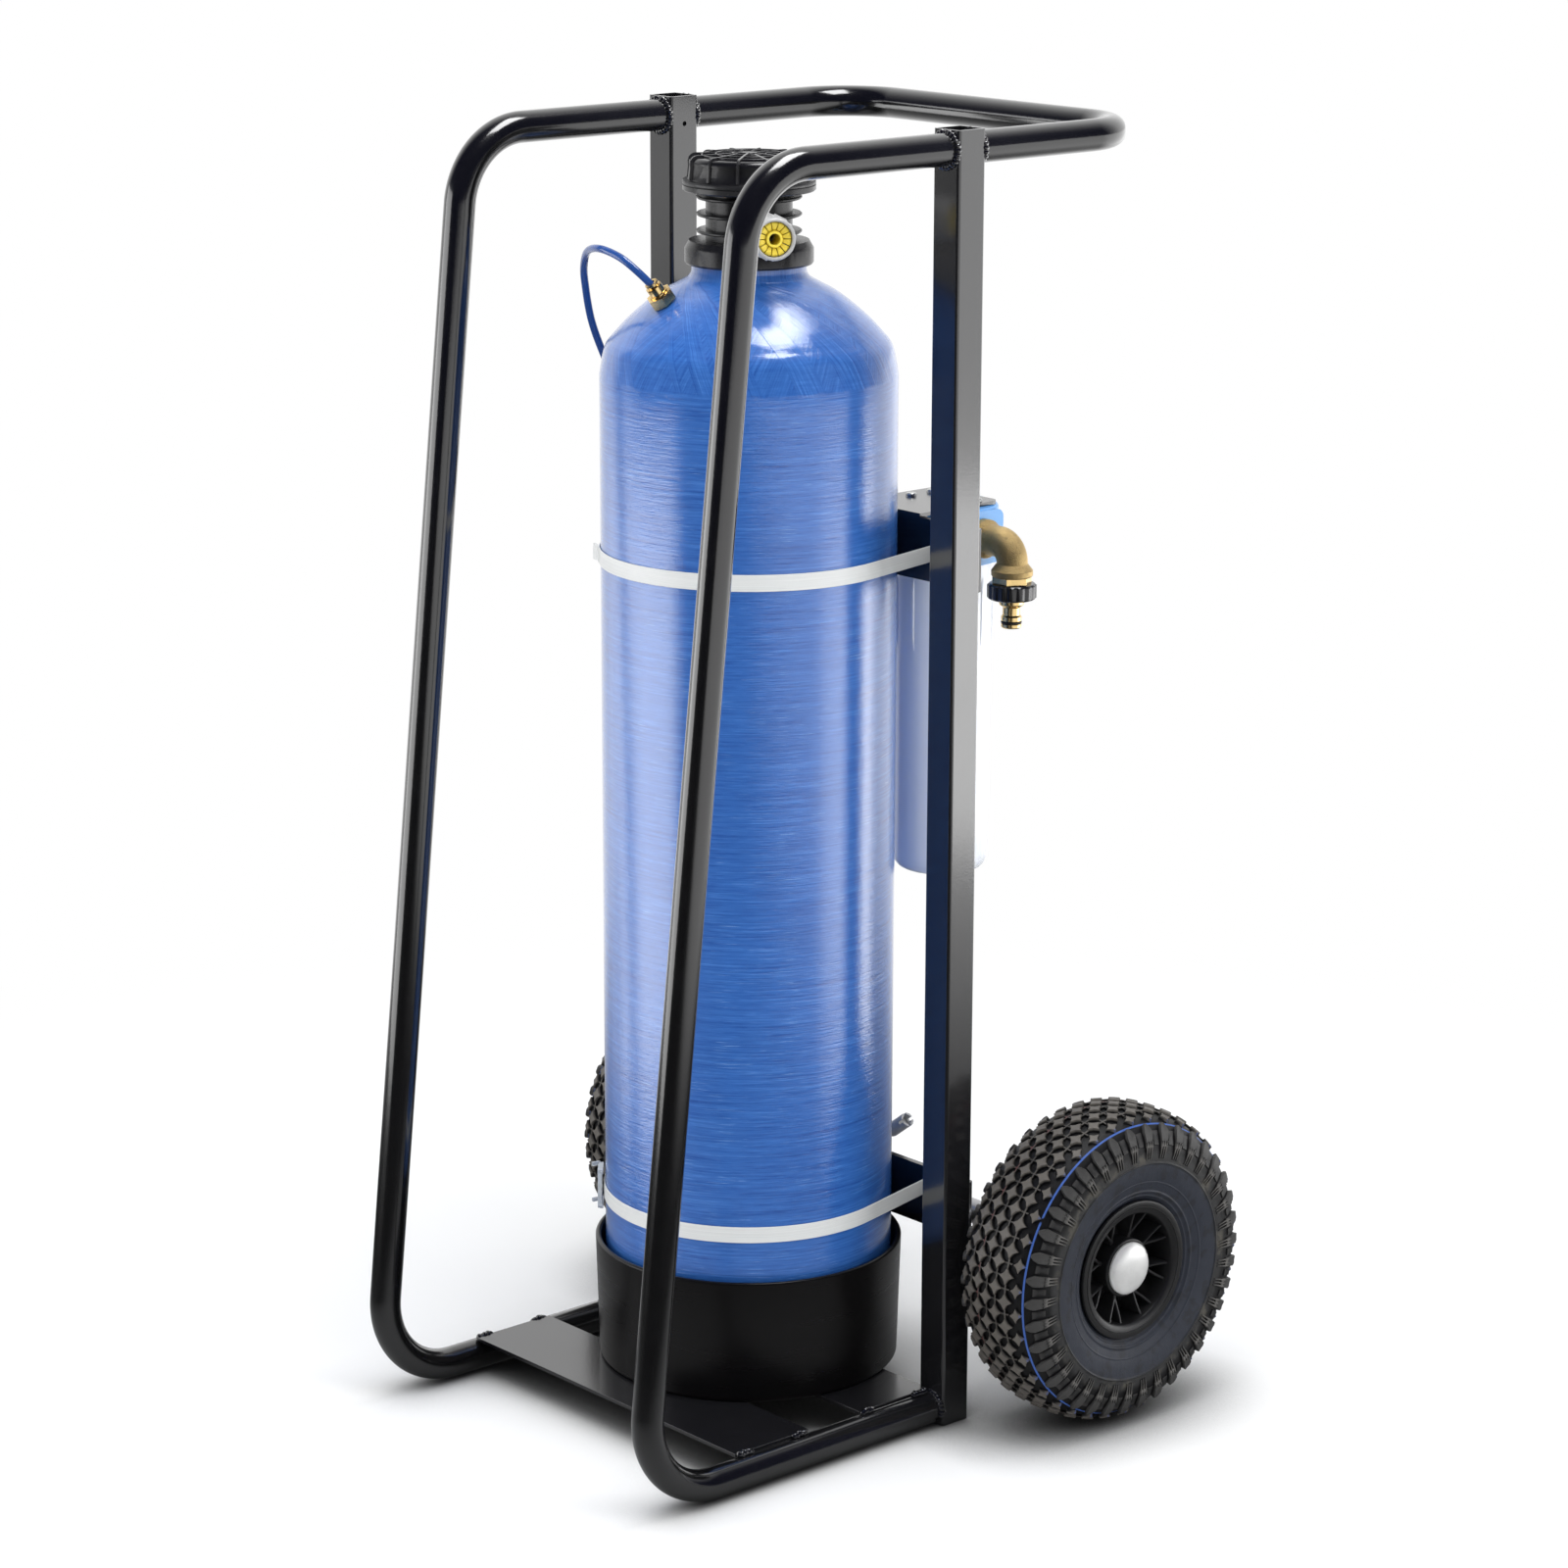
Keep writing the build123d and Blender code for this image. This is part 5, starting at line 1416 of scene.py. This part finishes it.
def studio_world():
    """white to the camera; reflections see white behind and dark blue towards the camera"""
    world = bpy.data.worlds.new("studio")
    SCENE.world = world
    world.use_nodes = True
    nodes = Nodes(world.node_tree)

    def background(color, strength):
        return nodes.add("ShaderNodeBackground", {0: color, 1: strength})

    direction = nodes.add("ShaderNodeTexCoord", output="Generated")
    facing = nodes.add("ShaderNodeVectorMath", {0: direction, 1: tuple(FORWARD)}, "Value",
                       operation="DOT_PRODUCT")
    mirrored = nodes.ramp(facing, [(0.12, (0.012, 0.014, 0.055)), (0.62, (1.0, 1.0, 1.0))])
    is_camera, is_glossy = nodes.outputs(nodes.node("ShaderNodeLightPath"),
                                         "Is Camera Ray", "Is Glossy Ray")
    unseen = nodes.mix_shader(is_glossy, background((0.97, 0.985, 1.0), 0.78),
                              background(mirrored, 1.05))
    shown = nodes.mix_shader(is_camera, unseen, background((1, 1, 1), 1.0))
    nodes.node("ShaderNodeOutputWorld", {0: shown})


floor()
studio_world()


def softbox(name, right, forward, height, aim, width, tall, power, diffuse=True, glossy=True):
    """area light placed in the camera's level directions, aimed at height aim on the axis"""
    light = bpy.data.lights.new(name, "AREA")
    light.shape = "RECTANGLE"
    light.size, light.size_y = width, tall
    light.energy = power
    ob = bpy.data.objects.new(name, light)
    SCENE.collection.objects.link(ob)
    place_at = RIGHT * right + FORWARD * forward + Vector((0, 0, height))
    ob.location = place_at + Vector((0, AXIS_Y * MM, 0))
    ob.rotation_mode = "QUATERNION"
    ob.rotation_quaternion = (Vector((0, 0, aim)) - place_at).to_track_quat("-Z", "Y")
    ob.visible_camera = False
    ob.visible_diffuse = diffuse
    ob.visible_glossy = glossy
    return ob


def limit_light(light, prefixes, exclude=False):
    """light only, or exclude, the meshes whose names start with one of the prefixes"""
    group = bpy.data.collections.new(light.name + "_on")
    for ob in bpy.data.objects:
        if ob.type == "MESH" and ob.name.startswith(prefixes):
            group.objects.link(ob)
    if exclude:
        for member in group.collection_objects:
            member.light_linking.link_state = "EXCLUDE"
    light.light_linking.receiver_collection = group


VESSEL = ("cylinder_shell", "vessel_shell")
TUBES = tuple(ob.name for ob in bpy.data.objects
              if ob.type == "MESH" and ("hoop" in ob.name or "handle" in ob.name))

# upright panels mirrored in the cylinder only: name, first and last angle to the right of
# the camera seen from the cylinder, distance, top z, brightness
PANEL_BOTTOM = -0.05
for name, first, last, distance, top, brightness in (
        ("vessel_left_a", -130, -112, 0.78, 0.66, 0.7),
        ("vessel_left_b", -112, -90, 0.78, 0.66, 2.6),
        ("vessel_left_c", -90, -54, 0.78, 0.66, 3.9),
        ("vessel_right_b", 56, 76, 0.90, 0.60, 1.7),
        ("vessel_right_c", 76, 106, 0.90, 0.60, 3.9)):
    middle, half = radians((first + last) / 2), radians((last - first) / 2)
    width, tall = 2 * distance * tan(half), top - PANEL_BOTTOM
    height = (PANEL_BOTTOM + top) / 2
    limit_light(softbox(name, sin(middle) * distance, -cos(middle) * distance, height, height,
                        width, tall, brightness * pi * width * tall, diffuse=False),
                VESSEL + ("band_",))

# panels seen as reflections: name, right, forward, height, aim height, width, tall, power,
# and what they leave out
for *panel, left_out in (
        ("panel_right", 1.84, 0.19, 0.13, 0.13, 1.30, 0.62, 9.0, VESSEL + TUBES),
        ("panel_right_high", 1.88, 0.19, 0.78, 0.70, 1.30, 0.80, 2.6, VESSEL + TUBES),
        ("panel_left", -1.8, -0.15, 0.62, 0.60, 1.5, 1.5, 20,
         VESSEL + ("post_left", "post_right")),
        ("panel_top", 0.42, -0.06, 2.4, 0.6, 0.9, 0.7, 21, ())):
    light = softbox(*panel, diffuse=False)
    if left_out:
        limit_light(light, left_out, exclude=True)

# even soft light on the surfaces, same columns
for panel in (("box_top", 0.0, -0.3, 2.6, 0.4, 1.9, 1.6, 34),
              ("box_right", 1.8, -0.8, 1.1, 0.5, 1.0, 1.6, 15),
              ("box_left", -1.8, -0.5, 1.1, 0.5, 1.0, 1.6, 9)):
    softbox(*panel, glossy=False)


def camera():
    data = bpy.data.cameras.new("camera")
    ob = bpy.data.objects.new("camera", data)
    SCENE.collection.objects.link(ob)
    back = Vector((sin(AZIMUTH) * cos(ELEVATION), -cos(AZIMUTH) * cos(ELEVATION),
                   sin(ELEVATION)))
    level_up = back.cross(RIGHT)
    right = RIGHT * cos(ROLL) + level_up * sin(ROLL)
    up = level_up * cos(ROLL) - RIGHT * sin(ROLL)
    ob.matrix_world = Matrix((
        (right.x, up.x, back.x, 2.5653),
        (right.y, up.y, back.y, -2.2453 + AXIS_Y * MM),
        (right.z, up.z, back.z, 1.3824),
        (0, 0, 0, 1)))
    data.sensor_width = 36.0
    data.lens = 101.5965
    data.shift_x = 0.0070625
    data.shift_y = 0.028125
    data.clip_start, data.clip_end = 0.1, 200
    SCENE.camera = ob


camera()
SCENE.view_settings.view_transform = "Standard"
SCENE.view_settings.look = "None"
